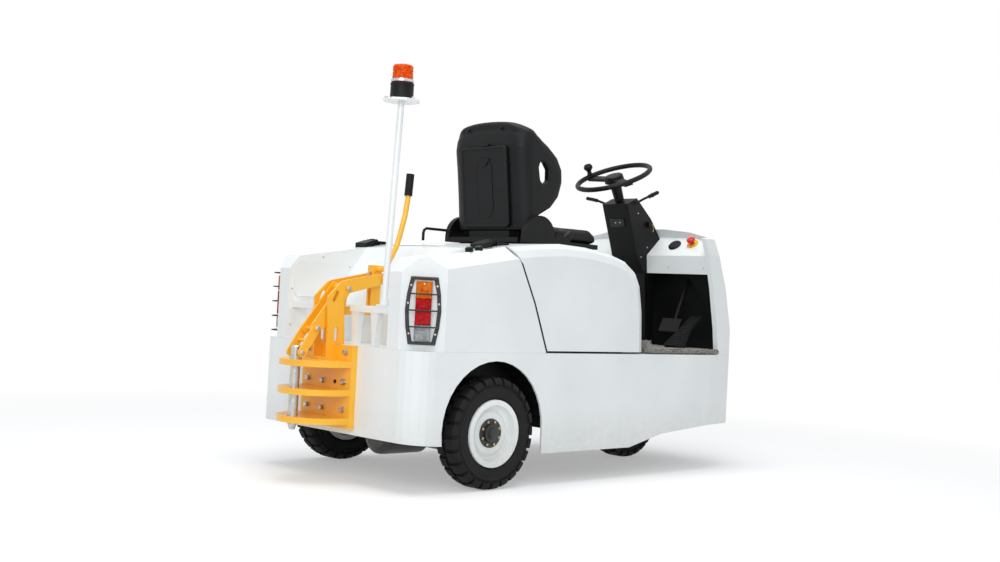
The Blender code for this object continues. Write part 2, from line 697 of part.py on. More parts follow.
# ---------------------------------------------------------------- front cowl and controls
COWL_LEVELS = [(z, BODY_FRONT - back, HALF_WIDTH - inward) for z, back, inward in COWL_LEANS]


def opening_x(z):
    for (low, first), (high, second) in zip(OPENING, OPENING[1:]):
        if z <= high:
            return first + (second - first) * (z - low) / (high - low)
    return OPENING[-1][1]


def nose_half(x, front, half, inset):
    """One side of the nose at a level, from the rear edge forwards."""
    taper = TAPER_START - (BODY_FRONT - front) * 0.7
    nose = [(front - inset - back, y * half / HALF_WIDTH - inset * (y > 0.3)) for back, y in NOSE]
    side = half - inset

    def along_taper(place):
        return side + (nose[0][1] - side) * max(place - taper, 0) / (nose[0][0] - taper)

    bend = max(taper, x + 0.004)
    return [(x, along_taper(x)), (bend, along_taper(bend))] + nose


def nose_rings(inset, rear=None):
    return [[(x, y, z) for x, y in mirrored(nose_half(opening_x(z) if rear is None else rear, front, half,
                                                      inset))]
            for z, front, half in COWL_LEVELS]


def nose_solid(name, inset, rear):
    return loft(name, nose_rings(inset, rear))


def front_cowl():
    cowl = loft("front_cowl", nose_rings(0), "white_paint")
    crown = [(-0.60, 0.30), (0.60, 0.30), (0.60, 0.985), (0.41, 1.020), (0.25, 1.055), (0.10, 1.069),
             (-0.10, 1.069), (-0.25, 1.055), (-0.41, 1.020), (-0.60, 0.985)]
    common(cowl, prism("cowl_crown", [crown], "YZ", 1.0, 2.0))
    inner = nose_solid("cowl_inside", COWL_WALL, 1.10)
    cut(cowl, inner)
    return cowl


def dash_console():
    sheet = 0.008
    line = [(DASH_EDGE[0] + 0.008, FASCIA_LOW), DASH_EDGE, DASH_LIP]
    inner = [(DASH_LIP[0], DASH_LIP[1] - 0.0115), (DASH_EDGE[0] + 0.0085, DASH_EDGE[1] - 0.004),
             (DASH_EDGE[0] + 0.008 + sheet, FASCIA_LOW)]
    dash = prism("dash_console", [line + inner], "XZ", -0.445, 0.445, "white_paint")
    common(dash, nose_solid("dash_limit", COWL_WALL + 0.0009, 1.10))
    slot = box("dash_slot", (1.20, -COLUMN_HALF - GAP, 0.80),
               (COLUMN_FRONT + GAP, COLUMN_HALF + GAP, 1.20))
    gauge = rod("gauge_hole", gauge_place(-0.03), gauge_place(0.03), 0.027)
    return cut(dash, slot, gauge)


def dash_z(x):
    return DASH_EDGE[1] + (x - DASH_EDGE[0]) * (DASH_LIP[1] - DASH_EDGE[1]) / (DASH_LIP[0] - DASH_EDGE[0])


def dash_normal():
    slope = Vector((DASH_LIP[0] - DASH_EDGE[0], 0, DASH_LIP[1] - DASH_EDGE[1])).normalized()
    return Vector((-slope.z, 0, slope.x))


def on_dash(x, y, height):
    """A point over the dash panel, at a height along its normal."""
    return Vector((x, y, dash_z(x))) + dash_normal() * height


def gauge_place(height):
    return on_dash(1.385, -0.195, height)


def dash_fittings():
    turned("battery_gauge", [(0, 0.010), (0.026, 0.009), (0.031, 0.005), (0.031, GAP), (0.027 - GAP, GAP),
                             (0.027 - GAP, -0.016), (0, -0.016)], gauge_place(0), dash_normal(),
                             "black_plastic", 32)
    turned("emergency_stop", [(0, 0.034), (0.014, 0.033), (0.019, 0.028), (0.019, 0.020), (0.010, 0.017),
                              (0.010, 0.004),
                              (0.028, 0.003), (0.028, GAP), (0, GAP)], on_dash(1.393, -0.290, 0),
                              dash_normal(),
           "stop_red", 32)


def footwell_liner():
    sheet = [(x + LINER_SHEET, z) for x, z in LINER_FACE] + list(LINER_FACE[::-1])
    liner = prism("footwell_liner", [sheet], "XZ", -0.45, 0.45, "black_plastic")
    return common(liner, nose_solid("liner_limit", COWL_WALL + 0.0009, 1.10))


def floor_fittings():
    rear, front = 0.897, 1.385
    side = [(rear, FLOOR_TOP + GAP), (front, FLOOR_TOP + GAP), (front, MAT_TOP - 0.004),
            (front - 0.008, MAT_TOP),
            (rear + 0.022, MAT_TOP), (rear + 0.012, MAT_TOP + 0.012), (rear + 0.008, 0.565),
            (rear, 0.565)]
    mat = prism("floor_mat", [side], "XZ", -0.474, 0.474, "carpet")
    leg = box("mat_column_cut", (COLUMN_FOOT - 0.006, -COLUMN_HALF - 0.002, 0.4),
              (1.5, COLUMN_HALF + 0.002, 0.7))
    cut(mat, leg)
    x, z = 1.190, MAT_TOP + 0.010
    slope = math.radians(34.7)
    length, thick = 0.237, 0.010
    along = (math.cos(slope), math.sin(slope))
    tip = (x + length * along[0], z + length * along[1])
    treadle = [(x, z), tip, (tip[0] + thick * along[1], tip[1] - thick * along[0]),
               (x + 0.110, z + 0.110 * math.tan(slope) - thick - 0.004), (x + 0.075, MAT_TOP + GAP),
               (x + 0.010, MAT_TOP + GAP)]
    prism("accelerator_pedal", [treadle], "XZ", -0.372, -0.310, "black_plastic")
    pad = [(1.286, 0.598), (1.296, 0.593), (1.326, 0.648), (1.318, 0.656)]
    brake = prism("brake_pedal", [pad], "XZ", -0.308, -0.200, "black_plastic")
    arm = pipe("brake_arm", [(1.306, -0.235, 0.624), (1.360, -0.235, 0.640), (1.425, -0.235, 0.790),
                             (1.460, -0.235, 0.850)], 0.008)
    liner = [(x - GAP, z) for x, z in LINER_FACE] + [(1.60, 0.990), (1.60, FLOOR_TOP)]
    cut(join(brake, arm), prism("pedal_limit", [liner], "XZ", -0.4, 0.0))


TILT = math.radians(COLUMN_TILT)
WHEEL_AXIS = Vector((-math.sin(TILT), 0, math.cos(TILT)))


def wheel_point(along, across=0, y=0):
    """A point by the steering wheel: along its axis, across it forwards, and to the left."""
    forward = Vector((math.cos(TILT), 0, math.sin(TILT)))
    return Vector((WHEEL_CENTRE[0], y, WHEEL_CENTRE[1])) + WHEEL_AXIS * along + forward * across


def steering_column():
    rear_top = wheel_point(-HUB_REACH, -0.036)
    front_top = wheel_point(-HUB_REACH, 0.036)
    over = GAP + 0.0004
    outline = [(rear_top.x, rear_top.z), (front_top.x, front_top.z), (1.350, 1.110),
               (1.416, dash_z(1.416) + 0.012),
               (1.422, dash_z(1.422) + over), (COLUMN_FRONT, dash_z(COLUMN_FRONT) + over),
               (COLUMN_FRONT, FLOOR_TOP + GAP),
               (COLUMN_FOOT, FLOOR_TOP + GAP), (1.320, 0.856), (1.259, 0.940)]
    column = prism("steering_column", [outline], "XZ", -COLUMN_HALF, COLUMN_HALF, "black_plastic")
    bore = rod("shaft_bore", wheel_point(-HUB_REACH + 0.01), wheel_point(-HUB_REACH - 0.05), 0.0155)
    cut(column, bore)
    stalk = [wheel_point(-HUB_REACH - 0.022, 0.004, side * (COLUMN_HALF - 0.01)) for side in (1, -1)]
    left = pipe("left_stalk", [stalk[0], (1.196, 0.120, 1.186), (1.188, 0.190, 1.200)], 0.0055)
    right = pipe("right_stalk", [stalk[1], (1.245, -0.110, 1.196), (1.290, -0.160, 1.232)], 0.0055)
    key = rod("key_switch", (1.330, -COLUMN_HALF + 0.004, 1.085), (1.330, -COLUMN_HALF - 0.014, 1.085),
              0.014)
    return join(column, left, right, key)


def steering_wheel():
    ring = WHEEL_RADIUS - WHEEL_GRIP + 0.010
    circle = [(ring + WHEEL_GRIP * math.cos(turn), WHEEL_GRIP * math.sin(turn))
              for turn in [math.radians(90 - 30 * index) for index in range(12)]]
    wheel = turned("steering_wheel", circle, wheel_point(0), WHEEL_AXIS, "black_plastic", 48)
    hub = turned("wheel_hub", [(0, 0.012), (0.036, 0.011), (0.043, 0.006), (0.046, -0.020),
                               (0.026, -0.030),
                               (0.022, -HUB_REACH + 0.005), (0.015, -HUB_REACH + 0.002),
                               (0.015, -HUB_REACH - 0.046),
                               (0, -HUB_REACH - 0.046)], wheel_point(0), WHEEL_AXIS)
    join(wheel, hub)
    # spokes: angle from straight ahead, half width at the rim
    for number, (angle, half) in enumerate(((KNOB_ANGLE, 0.019), (KNOB_ANGLE + SPOKE_SPREAD, 0.019))):
        turn = math.radians(angle)
        spoke = box(f"spoke_{number}", (0.020, -half, -0.018), (ring, half, -0.004))
        spoke.matrix_basis = wheel_frame() @ Matrix.Rotation(turn, 4, "Z")
        join(wheel, spoke)
    turn = math.radians(KNOB_ANGLE)
    place = wheel_frame() @ Vector((ring * math.cos(turn), ring * math.sin(turn), 0))
    turned("spinner_knob", [(0, 0.062), (0.014, 0.059), (0.021, 0.048), (0.021, 0.040), (0.013, 0.030),
                            (0.009, 0.022),
                            (0.013, WHEEL_GRIP + GAP), (0, WHEEL_GRIP + GAP)], place, WHEEL_AXIS,
                            "black_plastic", 28)


def wheel_frame():
    """The steering wheel's own frame: z along its axis, x forwards across it."""
    forward = Vector((math.cos(TILT), 0, math.sin(TILT)))
    side = WHEEL_AXIS.cross(forward)
    turn = Matrix((forward, side, WHEEL_AXIS)).transposed().to_4x4()
    return Matrix.Translation(wheel_point(0)) @ turn


# ---------------------------------------------------------------- seat


def back_rear_x(z):
    (low_x, low_z), (high_x, high_z) = BACK_REAR[0], BACK_REAR[2]
    return low_x + (high_x - low_x) * (z - low_z) / (high_z - low_z)


def seat():
    outline = list(BACK_REAR) + [(0.346, 1.420), (0.368, 1.437), (0.400, 1.432), (0.440, 1.405),
                                 (0.484, 1.365),
                                 (0.552, 1.303), (0.589, 1.238), (0.589, 1.189), (0.558, 1.122),
                                 (0.525, 1.090),
                                 (0.471, 1.061), (0.452, 1.030), (0.446, 0.985)]
    back = crowned_block("seat_back", outline, SEAT_HALF, 0.020, ROUNDED, 0.024, "seat_vinyl")
    front = [(0.405, 0.90), (0.392, 1.17), (0.370, 1.370), (0.400, 1.50), (0.70, 1.50), (0.70, 0.90)]
    room = prism("back_room", [front], "XZ", -SEAT_HALF + 0.030, SEAT_HALF - 0.030)
    hole = [(0.447, 1.286), (0.475, 1.280), (0.499, 1.248), (0.502, 1.200), (0.476, 1.180),
            (0.450, 1.199), (0.434, 1.250)]
    cut(back, room, prism("wing_hole", [hole], "XZ", -0.3, 0.3))
    pocket = [(back_rear_x(z) + inward, z) for z, inward in
              ((LID_LOW + 0.02, -0.02), (LID_LOW + 0.02, 0.020), (LID_HIGH - 0.02, 0.020),
               (LID_HIGH - 0.02, -0.02))]
    cut(back, prism("document_pocket", [pocket], "XZ", -LID_HALF + 0.015, LID_HALF - 0.015))
    lid = [(back_rear_x(z) - out - GAP * 1.1, z) for z, out in
           ((LID_LOW, 0), (LID_LOW, LID_THICK), (LID_HIGH, LID_THICK), (LID_HIGH, 0))]
    lid = crowned_block("document_lid", lid, LID_HALF, 0.003, CHAMFER, 0.003, "seat_vinyl")
    move_origin(lid, (back_rear_x(LID_LOW) - 0.002, 0, LID_LOW))

    inside = SEAT_HALF - 0.030 - 0.001
    pad = [(0.405 + GAP, SEAT_FLOOR + 0.075), (0.392 + GAP, 1.17), (0.371 + GAP, 1.362), (0.420, 1.385),
           (0.448, 1.350),
           (0.456, 1.200), (0.486, 1.080), (0.480, SEAT_FLOOR + 0.075)]
    crowned_block("backrest_cushion", pad, inside, 0.016, ROUNDED, 0.022, "seat_vinyl")
    pan = box("seat_pan", (0.345, -0.205, 0.936), (0.836, 0.205, SEAT_FLOOR), "black_plastic")
    for side, sign in SIDES:
        low, high = sorted((sign * (SEAT_HALF + 0.001), sign * (SEAT_HALF + 0.026)))
        ear = arc((0.440, 0.962), 0.088, 180, 0, 13)
        ear = [(0.352, 0.936)] + ear + [(0.545, 0.990), (0.620, 0.960), (0.625, 0.936)]
        join(pan, prism(f"seat_ear_{side}", [ear], "XZ", low, high))
        low, high = sorted((sign * 0.150, sign * (SEAT_HALF + 0.004)))
        join(pan, box(f"ear_tie_{side}", (0.40, low, 0.937), (0.60, high, 0.948)))
        low, high = sorted((sign * 0.130, sign * 0.165))
        join(pan, box(f"seat_rail_{side}", (0.370, low, 0.880), (0.800, high, 0.940)))
    stem = box("back_stem", (0.380, -0.120, 0.940), (0.440, 0.120, 0.985 - GAP))
    join(pan, stem)
    over = crowned_block("hood_grown", offset([(-0.30, 0.30)] + list(HOOD_LINE), -GAP), PANEL_HALF,
                         SHOULDER_DROP, ROUNDED)
    cut(pan, over)
    cushion = [(0.500, SEAT_FLOOR + GAP), (CUSHION_FRONT - 0.010, SEAT_FLOOR + GAP),
               (CUSHION_FRONT, 0.965), (CUSHION_FRONT - 0.006, 0.995),
               (CUSHION_FRONT - 0.040, 1.016), (0.620, 1.010), (0.500, 1.016)]
    crowned_block("seat_cushion", cushion, 0.212, 0.012, ROUNDED, 0.022, "seat_vinyl")
    handle = pipe("seat_handle", [(0.370, 0.2475, 0.985), (0.250, 0.2475, 0.985), (0.238, 0.2475, 0.978),
                                  (0.234, 0.2475, 0.965),
                                  (0.234, 0.2475, 0.921 + 0.012)], 0.006, "black_plastic")
    return handle


# ---------------------------------------------------------------- rear lamps and beacon
FACET_MID = ((COWL_REAR + FACET_END_X) / 2, (FACET_START + PANEL_HALF) / 2)
FACET_ALONG = Vector((FACET_END_X - COWL_REAR, PANEL_HALF - FACET_START, 0)).normalized()


def lamps():
    for side, sign in SIDES:
        along = Vector((FACET_ALONG.x, sign * FACET_ALONG.y, 0))
        out = Vector((-FACET_ALONG.y, sign * FACET_ALONG.x, 0))
        frame = Matrix((along, out, Vector((0, 0, 1)))).transposed().to_4x4()
        frame = Matrix.Translation((FACET_MID[0], sign * FACET_MID[1], 0)) @ frame
        if sign < 0:
            frame = frame @ Matrix.Diagonal((-1, 1, 1, 1))
        lamp = box(f"tail_lamp_{side}", (-LAMP_HALF, GAP, LAMP_LOW), (LAMP_HALF, 0.024, LAMP_HIGH),
                   "lamp_lens")
        lamp.matrix_basis = frame
        round_edges(lamp, 0.004, 2)
        # the guard's flat frame: height, half width
        rim = ((0.527, 0.0485), (0.590, 0.0600), (0.648, 0.0645), (0.706, 0.0600), (0.767, 0.0485))
        outside = [(half, z) for z, half in rim] + [(-half, z) for z, half in reversed(rim)]
        inside = [(half - 0.014, min(max(z, 0.538), 0.756)) for z, half in rim]
        inside += [(-half, z) for half, z in reversed(inside)]
        guard = prism(f"lamp_guard_{side}", [outside, inside], "XZ", GAP, 0.003 + GAP, "black_paint")
        guard.matrix_basis = frame
        # bars of the guard: height, half width
        for number, (z, half) in enumerate(((0.533, 0.044), (0.590, 0.054), (0.648, 0.0585),
                                            (0.706, 0.054), (0.761, 0.044))):
            points = [(-half, 0.002, z), (-half + 0.004, 0.024, z), (-half * 0.60, 0.038, z),
                      (half * 0.60, 0.038, z),
                      (half - 0.004, 0.024, z), (half, 0.002, z)]
            bar = pipe(f"guard_bar_{side}_{number}", points, 0.0032, resolution=1)
            bar.matrix_basis = frame
            join(guard, bar)


def headlamps():
    for side, sign in SIDES:
        lamp = [(0, 0.012), (0.040, 0.010), (0.055, 0.005), (0.058, -0.002), (0.058, -0.016), (0, -0.016)]
        piece = turned(f"headlamp_{side}", lamp, (1.5562, sign * 0.300, 0.690), (0.976, 0, 0.217),
                       "headlamp_lens", 32)
        cut(piece, nose_solid(f"headlamp_seat_{side}", -GAP, 1.20))


def beacon():
    mast = pipe("beacon_mast", [MAST_FOOT, MAST_TOP], MAST_RADIUS, "white_paint", 4)
    x, y, z = MAST_TOP
    plate = [(x + 0.070 * math.cos(math.radians(a)),
              y + 0.070 * math.sin(math.radians(a))) for a in range(22, 382, 45)]
    join(mast, prism("beacon_plate", [plate], "XY", z - 0.003, z + 0.005))
    foot = box("mast_foot", (MAST_FOOT[0] - 0.020, MAST_FOOT[1] - 0.045, STAND_TOP + GAP),
               (MAST_FOOT[0] + 0.020, MAST_FOOT[1] + 0.020, STAND_TOP + 0.008))
    join(mast, foot, rod("mast_socket", (MAST_FOOT[0], MAST_FOOT[1], STAND_TOP + 0.004),
                         (MAST_FOOT[0], MAST_FOOT[1], STAND_TOP + 0.030), MAST_RADIUS + 0.004))
    top = z + 0.005 + GAP
    turned("beacon_base", [(0, 0.062), (0.040, 0.062), (0.043, 0.056), (0.047, 0.016), (0.049, 0.008),
                           (0.049, 0), (0, 0)],
           (x, y, top), (0, 0, 1), "black_plastic", 32)
    turned("beacon_lens", [(0, 0.068), (0.018, 0.066), (0.032, 0.054), (0.038, 0.030), (0.039, GAP),
                           (0, GAP)],
           (x, y, top + 0.062), (0, 0, 1), "beacon_lens", 32)


# ---------------------------------------------------------------- recess stands and hitch


def recess_stands():
    """A square rail on each side of the recess, on tapered legs."""
    x = -0.350
    for side, sign in SIDES:
        low, high = sorted((sign * 0.062, sign * (RECESS_HALF - GAP)))
        stand = box(f"recess_stand_{side}", (x - 0.018, low, STAND_LOW), (x + 0.018, high, STAND_TOP),
                    "white_paint")
        for number, y in enumerate((0.086, RECESS_HALF - 0.110)):
            y *= sign
            leg = [(y - 0.024, STAND_LOW + 0.005), (y + 0.024, STAND_LOW + 0.005), (y + 0.011, 0.560),
                   (y + 0.011, FLOOR_TOP + GAP), (y - 0.011, FLOOR_TOP + GAP), (y - 0.011, 0.560)]
            join(stand, prism(f"stand_leg_{side}_{number}", [leg], "YZ", x - 0.012, x + 0.012))


def tow_hitch():
    rear = BODY_REAR - GAP
    plate = rear - HITCH_PLATE
    hitch = box("tow_hitch", (plate, -HITCH_HALF, BACK_PLATE_LOW), (rear, HITCH_HALF, BACK_PLATE_HIGH),
                "yellow_paint")
    radius = HITCH_HALF - 0.002
    for number, top in enumerate(JAW_TOPS):
        jaw = [(plate + 0.003, radius)] + arc((JAW_ARC_X, 0), radius, 90, 270,
                                              25) + [(plate + 0.003, -radius)]
        join(hitch, prism(f"jaw_{number}", [jaw], "XY", top - JAW_THICK, top))
    cut(hitch, rod("pin_holes", (PIN_X, 0, 0.1), (PIN_X, 0, 0.6), PIN_RADIUS + 0.0015, sides=36))


CRANK_END = (CRANK_PIVOT[0] + CRANK_ARM * math.cos(math.radians(CRANK_ARM_ANGLE)),
             CRANK_PIVOT[1] + CRANK_ARM * math.sin(math.radians(CRANK_ARM_ANGLE)))


def both_sides(name, outlines, inner, thick, finish=None):
    """The same flat outline on both sides of the centreline, as two solids."""
    left = prism(name, outlines, "XZ", inner, inner + thick, finish)
    right = prism(name + "_other", outlines, "XZ", -inner - thick, -inner)
    return left, right


def circle(centre, radius, count=24):
    return [(centre[0] + radius * math.cos(math.tau * i / count),
             centre[1] + radius * math.sin(math.tau * i / count))
            for i in range(count)]


def slot(low, high, radius):
    """A slot between two centres, the first below the second."""
    lean = math.degrees(math.atan2(high[1] - low[1], high[0] - low[0]))
    return arc(high, radius, lean - 90, lean + 90, 7) + arc(low, radius, lean + 90, lean + 270, 7)


def strap(start, end, start_radius, end_radius):
    """A bar with a round end about each of two centres."""
    lean = math.degrees(math.atan2(end[1] - start[1], end[0] - start[0]))
    return arc(end, end_radius, lean - 90, lean + 90, 9) + arc(start, start_radius, lean + 90, lean + 270,
                                                               9)


def hitch_bracket():
    plate_rear = BODY_REAR - GAP - HITCH_PLATE
    foot = [(-0.449, JAW_TOPS[0] + GAP), (plate_rear - GAP, JAW_TOPS[0] + GAP),
            (plate_rear - GAP, FLOOR_TOP + GAP),
            (-0.374, FLOOR_TOP + GAP), (-0.384, 0.663), (-0.360, 0.695)]
    arm = arc(LEVER_PIVOT, 0.022, -80, 90, 9)
    top = [(-0.380, 0.742), (-0.400, 0.736), (-0.457, 0.679)]
    outline = foot + arm + top
    upper = slot((-0.430, 0.668), (-0.417, 0.694), 0.0085)
    lower = slot((-0.414, 0.524), (-0.414, 0.560), 0.0085)
    left, right = both_sides("hitch_bracket", [outline, upper, lower], NECK_Y, NECK_THICK, "yellow_paint")
    join(left, right)
    for name, (x, z) in (("crank_bolt", CRANK_PIVOT), ("lever_bolt", LEVER_PIVOT)):
        join(left, rod(name, (x, -NECK_Y - NECK_THICK - 0.008, z), (x, NECK_Y + NECK_THICK + 0.008, z),
                       BOLT))
        for sign in (-1, 1):
            face = NECK_Y + NECK_THICK
            join(left, rod(f"{name}_head_{sign}", (x, sign * (face - 0.001), z),
                           (x, sign * (face + 0.008), z), 0.0145, sides=6))
    foot_plate = box("neck_foot", (-0.449, -NECK_Y - NECK_THICK - 0.012, JAW_TOPS[0] + GAP),
                     (plate_rear - GAP, NECK_Y + NECK_THICK + 0.012, JAW_TOPS[0] + 0.010))
    return join(left, foot_plate)


def lift_crank():
    x, z = CRANK_PIVOT
    outline = [(-0.352, 0.722)] + arc(CRANK_PIVOT, 0.024, 20, 150, 9)
    outline += arc(LINK_PIVOT, 0.020, 135, 290, 9)
    outline += arc(CRANK_END, 0.019, -95, 10, 7)
    hole = circle(CRANK_PIVOT, BOLT + PLAY)
    left, right = both_sides("lift_crank", [outline, hole], CRANK_Y, CRANK_THICK, "yellow_paint")
    sleeve = turned("crank_sleeve", [(0.016, CRANK_Y + 0.001), (0.016, -CRANK_Y - 0.001),
                                     (BOLT + PLAY, -CRANK_Y - 0.001),
                                     (BOLT + PLAY, CRANK_Y + 0.001)], (x, 0, z), (0, 1, 0), None, 24)
    reach = LINK_Y + LINK_THICK + 0.004
    pin = rod("link_pivot_pin", (LINK_PIVOT[0], -reach, LINK_PIVOT[1]),
              (LINK_PIVOT[0], reach, LINK_PIVOT[1]), 0.007)
    join(left, right, sleeve, pin)
    for sign in (-1, 1):
        face = LINK_Y + LINK_THICK + PLAY
        join(left, rod(f"link_pin_head_{sign}", (LINK_PIVOT[0], sign * face, LINK_PIVOT[1]),
                       (LINK_PIVOT[0], sign * (face + 0.006), LINK_PIVOT[1]), 0.012))
    move_origin(left, (x, 0, z))


def draw_link():
    outline = strap(LINK_EYE, LINK_PIVOT, 0.016, 0.017)
    left, right = both_sides("draw_link", [outline, circle(LINK_PIVOT, 0.007 + PLAY)], LINK_Y, LINK_THICK,
                             "yellow_paint")
    mid = [(a + b) / 2 for a, b in zip(LINK_EYE, LINK_PIVOT)]
    spacer = rod("link_spacer", (mid[0], -LINK_Y - 0.001, mid[1]), (mid[0], LINK_Y + 0.001, mid[1]),
                 0.007)
    join(left, right, spacer)
    move_origin(left, (LINK_PIVOT[0], 0, LINK_PIVOT[1]))


def pull_rod():
    outline = strap(CRANK_END, LEVER_TAIL, 0.015, 0.017)
    bar = prism("pull_rod", [outline, circle(LEVER_TAIL, 0.007 + PLAY)], "XZ", -BAR_HALF, BAR_HALF,
                "yellow_paint")
    move_origin(bar, (LEVER_TAIL[0], 0, LEVER_TAIL[1]))


def hand_lever():
    x, z = LEVER_PIVOT
    post = [(x - 0.022, 0.806), (x - 0.022, LEVER_TAIL[1] - 0.012), (x - 0.016, LEVER_TAIL[1] - 0.018),
            (x + 0.010, LEVER_TAIL[1] - 0.018), (x + 0.016, LEVER_TAIL[1] - 0.012), (x + 0.020, 0.806)]
    hole = circle(LEVER_PIVOT, BOLT + PLAY)
    left, right = both_sides("hand_lever", [post, hole], POST_Y, POST_THICK, "yellow_paint")
    boss = box("lever_boss", (x - 0.022, -POST_Y - 0.001, 0.778), (x + 0.020, POST_Y + 0.001, 0.806))
    tail = rod("lever_tail_pin", (LEVER_TAIL[0], -POST_Y - 0.002, LEVER_TAIL[1]),
               (LEVER_TAIL[0], POST_Y + 0.002, LEVER_TAIL[1]), 0.007)
    sleeve = turned("lever_sleeve", [(0.018, POST_Y + 0.001), (0.018, -POST_Y - 0.001),
                                     (BOLT + PLAY, -POST_Y - 0.001),
                                     (BOLT + PLAY, POST_Y + 0.001)], (x, 0, z), (0, 1, 0), None, 24)
    join(left, right, boss, sleeve, tail, pipe("lever_tube", HANDLE, TUBE, resolution=3))
    move_origin(left, (x, 0, z))
    low, high = Vector(HANDLE[-2]), Vector(HANDLE[-1])
    along = (high - low).normalized()
    grip = rod("lever_grip", low + along * 0.008, high + along * 0.016, 0.0155, "black_plastic")
    cut(grip, rod("grip_bore", low - along * 0.010, high + along * 0.0005, TUBE + 0.0006))


def tow_pin():
    profile = [(0, PIN_HIGH), (0.014, PIN_HIGH), (PIN_RADIUS, PIN_HIGH - 0.005),
               (PIN_RADIUS, PIN_LOW + 0.022),
               (0.010, PIN_LOW), (0, PIN_LOW)]
    pin = turned("tow_pin", profile, (PIN_X, 0, 0), (0, 0, 1), "steel", 32)
    collar = rod("pin_collar", (PIN_X, 0, JAW_TOPS[0] + GAP), (PIN_X, 0, JAW_TOPS[0] + 0.012),
                 PIN_RADIUS + 0.006, sides=32)
    join(pin, collar)


for build in (lower_body, chassis, arch_liners, rear_wheels, rear_axle, front_fork, rear_cowl,
              battery_hood, hood_hinges,
              hood_leaves, front_cowl, headlamps, dash_console, dash_fittings, footwell_liner,
              floor_fittings,
              steering_column, steering_wheel, seat, lamps, beacon, recess_stands, tow_hitch,
              hitch_bracket, lift_crank,
              draw_link, pull_rod, hand_lever, tow_pin):
    build()
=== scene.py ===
# %% [markdown]
# # Airport baggage tug
# A small three-wheel electric tow tractor. It has painted steel panels, a moulded seat, a pin hitch at
# the rear and solid rubber tyres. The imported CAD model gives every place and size. This lesson gives
# the parts their finishes and adds the detail that the CAD leaves out.

import bmesh
import bpy
import math
from mathutils import Matrix, Vector


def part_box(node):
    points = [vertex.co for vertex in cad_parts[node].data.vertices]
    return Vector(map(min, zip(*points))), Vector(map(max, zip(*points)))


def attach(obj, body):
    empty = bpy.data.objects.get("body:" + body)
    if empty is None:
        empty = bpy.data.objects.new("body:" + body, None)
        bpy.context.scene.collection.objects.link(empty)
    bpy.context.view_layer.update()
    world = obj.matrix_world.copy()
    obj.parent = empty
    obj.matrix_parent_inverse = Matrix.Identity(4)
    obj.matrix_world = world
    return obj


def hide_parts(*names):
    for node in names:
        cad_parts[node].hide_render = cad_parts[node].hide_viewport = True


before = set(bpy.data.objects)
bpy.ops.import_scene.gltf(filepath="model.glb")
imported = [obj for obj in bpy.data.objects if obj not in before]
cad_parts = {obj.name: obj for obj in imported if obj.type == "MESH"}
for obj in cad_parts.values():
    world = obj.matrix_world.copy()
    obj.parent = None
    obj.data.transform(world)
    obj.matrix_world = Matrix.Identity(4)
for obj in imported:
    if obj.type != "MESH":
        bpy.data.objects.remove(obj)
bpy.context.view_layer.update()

# %% [markdown]
# ## Helpers for finishes
# A paint chip or a plastic sample is noted as an sRGB hex value, and the shader wants linear light,
# so one function turns the one into the other. One more function adds a node with its settings and
# its links, which keeps every material below short enough to read.

# %% Finish helpers


def linear(hex_value):
    parts = [int(hex_value[start:start + 2], 16) / 255 for start in (1, 3, 5)]
    return (*[part / 12.92 if part <= 0.04045 else ((part + 0.055) / 1.055) ** 2.4 for part in parts], 1)


def add_node(tree, kind, inputs=(), **settings):
    node = tree.nodes.new(kind)
    for name, value in settings.items():
        setattr(node, name, value)
    for socket, value in dict(inputs).items():
        if isinstance(value, bpy.types.NodeSocket):
            tree.links.new(value, node.inputs[socket])
        else:
            node.inputs[socket].default_value = value
    return node


def new_finish(name, colour, roughness, metallic=0.0, **sockets):
    """A material on the object's own coordinates: its tree, its shader and the coordinates' socket."""
    made = bpy.data.materials.new(name)
    made.use_nodes = True
    tree = made.node_tree
    shader = tree.nodes["Principled BSDF"]
    shader.inputs["Base Color"].default_value = linear(colour)
    shader.inputs["Roughness"].default_value = roughness
    shader.inputs["Metallic"].default_value = metallic
    for socket, value in sockets.items():
        shader.inputs[socket.replace("_", " ")].default_value = value
    place = add_node(tree, "ShaderNodeTexCoord").outputs["Object"]
    return made, tree, shader, place


def mottle(tree, shader, place, size, light, dark, low=0.35, high=0.65, detail=4.0):
    """Colour that drifts between two shades over patches of the given size in metres."""
    noise = add_node(tree, "ShaderNodeTexNoise", {"Vector": place, "Scale": 1 / size, "Detail": detail})
    ramp = add_node(tree, "ShaderNodeValToRGB", {"Fac": noise.outputs["Fac"]})
    ramp.color_ramp.elements[0].position = low
    ramp.color_ramp.elements[0].color = linear(dark)
    ramp.color_ramp.elements[1].position = high
    ramp.color_ramp.elements[1].color = linear(light)
    tree.links.new(ramp.outputs["Color"], shader.inputs["Base Color"])
    return ramp


def gloss(tree, shader, place, size, low, high):
    """Roughness that drifts between two values over patches of the given size."""
    noise = add_node(tree, "ShaderNodeTexNoise", {"Vector": place, "Scale": 1 / size, "Detail": 3.0})
    span = add_node(tree, "ShaderNodeMapRange", {"Value": noise.outputs["Fac"], "To Min": low, "To Max": high})
    tree.links.new(span.outputs["Result"], shader.inputs["Roughness"])


def relief(tree, shader, height, distance, strength=1.0):
    """A height pattern turned into a bump of the given depth in metres."""
    bump = add_node(tree, "ShaderNodeBump", {"Height": height, "Distance": distance, "Strength": strength})
    tree.links.new(bump.outputs["Normal"], shader.inputs["Normal"])
    return bump


# %% [markdown]
# ## Painted steel
# The panels are sheet steel, sprayed with two-pack enamel. Wet enamel dries with a faint orange peel
# of about 3 mm, and a work vehicle gathers a thin film of road dust near the ground. The film is mixed
# in by height with a Separate XYZ node, because the object's z is its real height.

# %% Paints


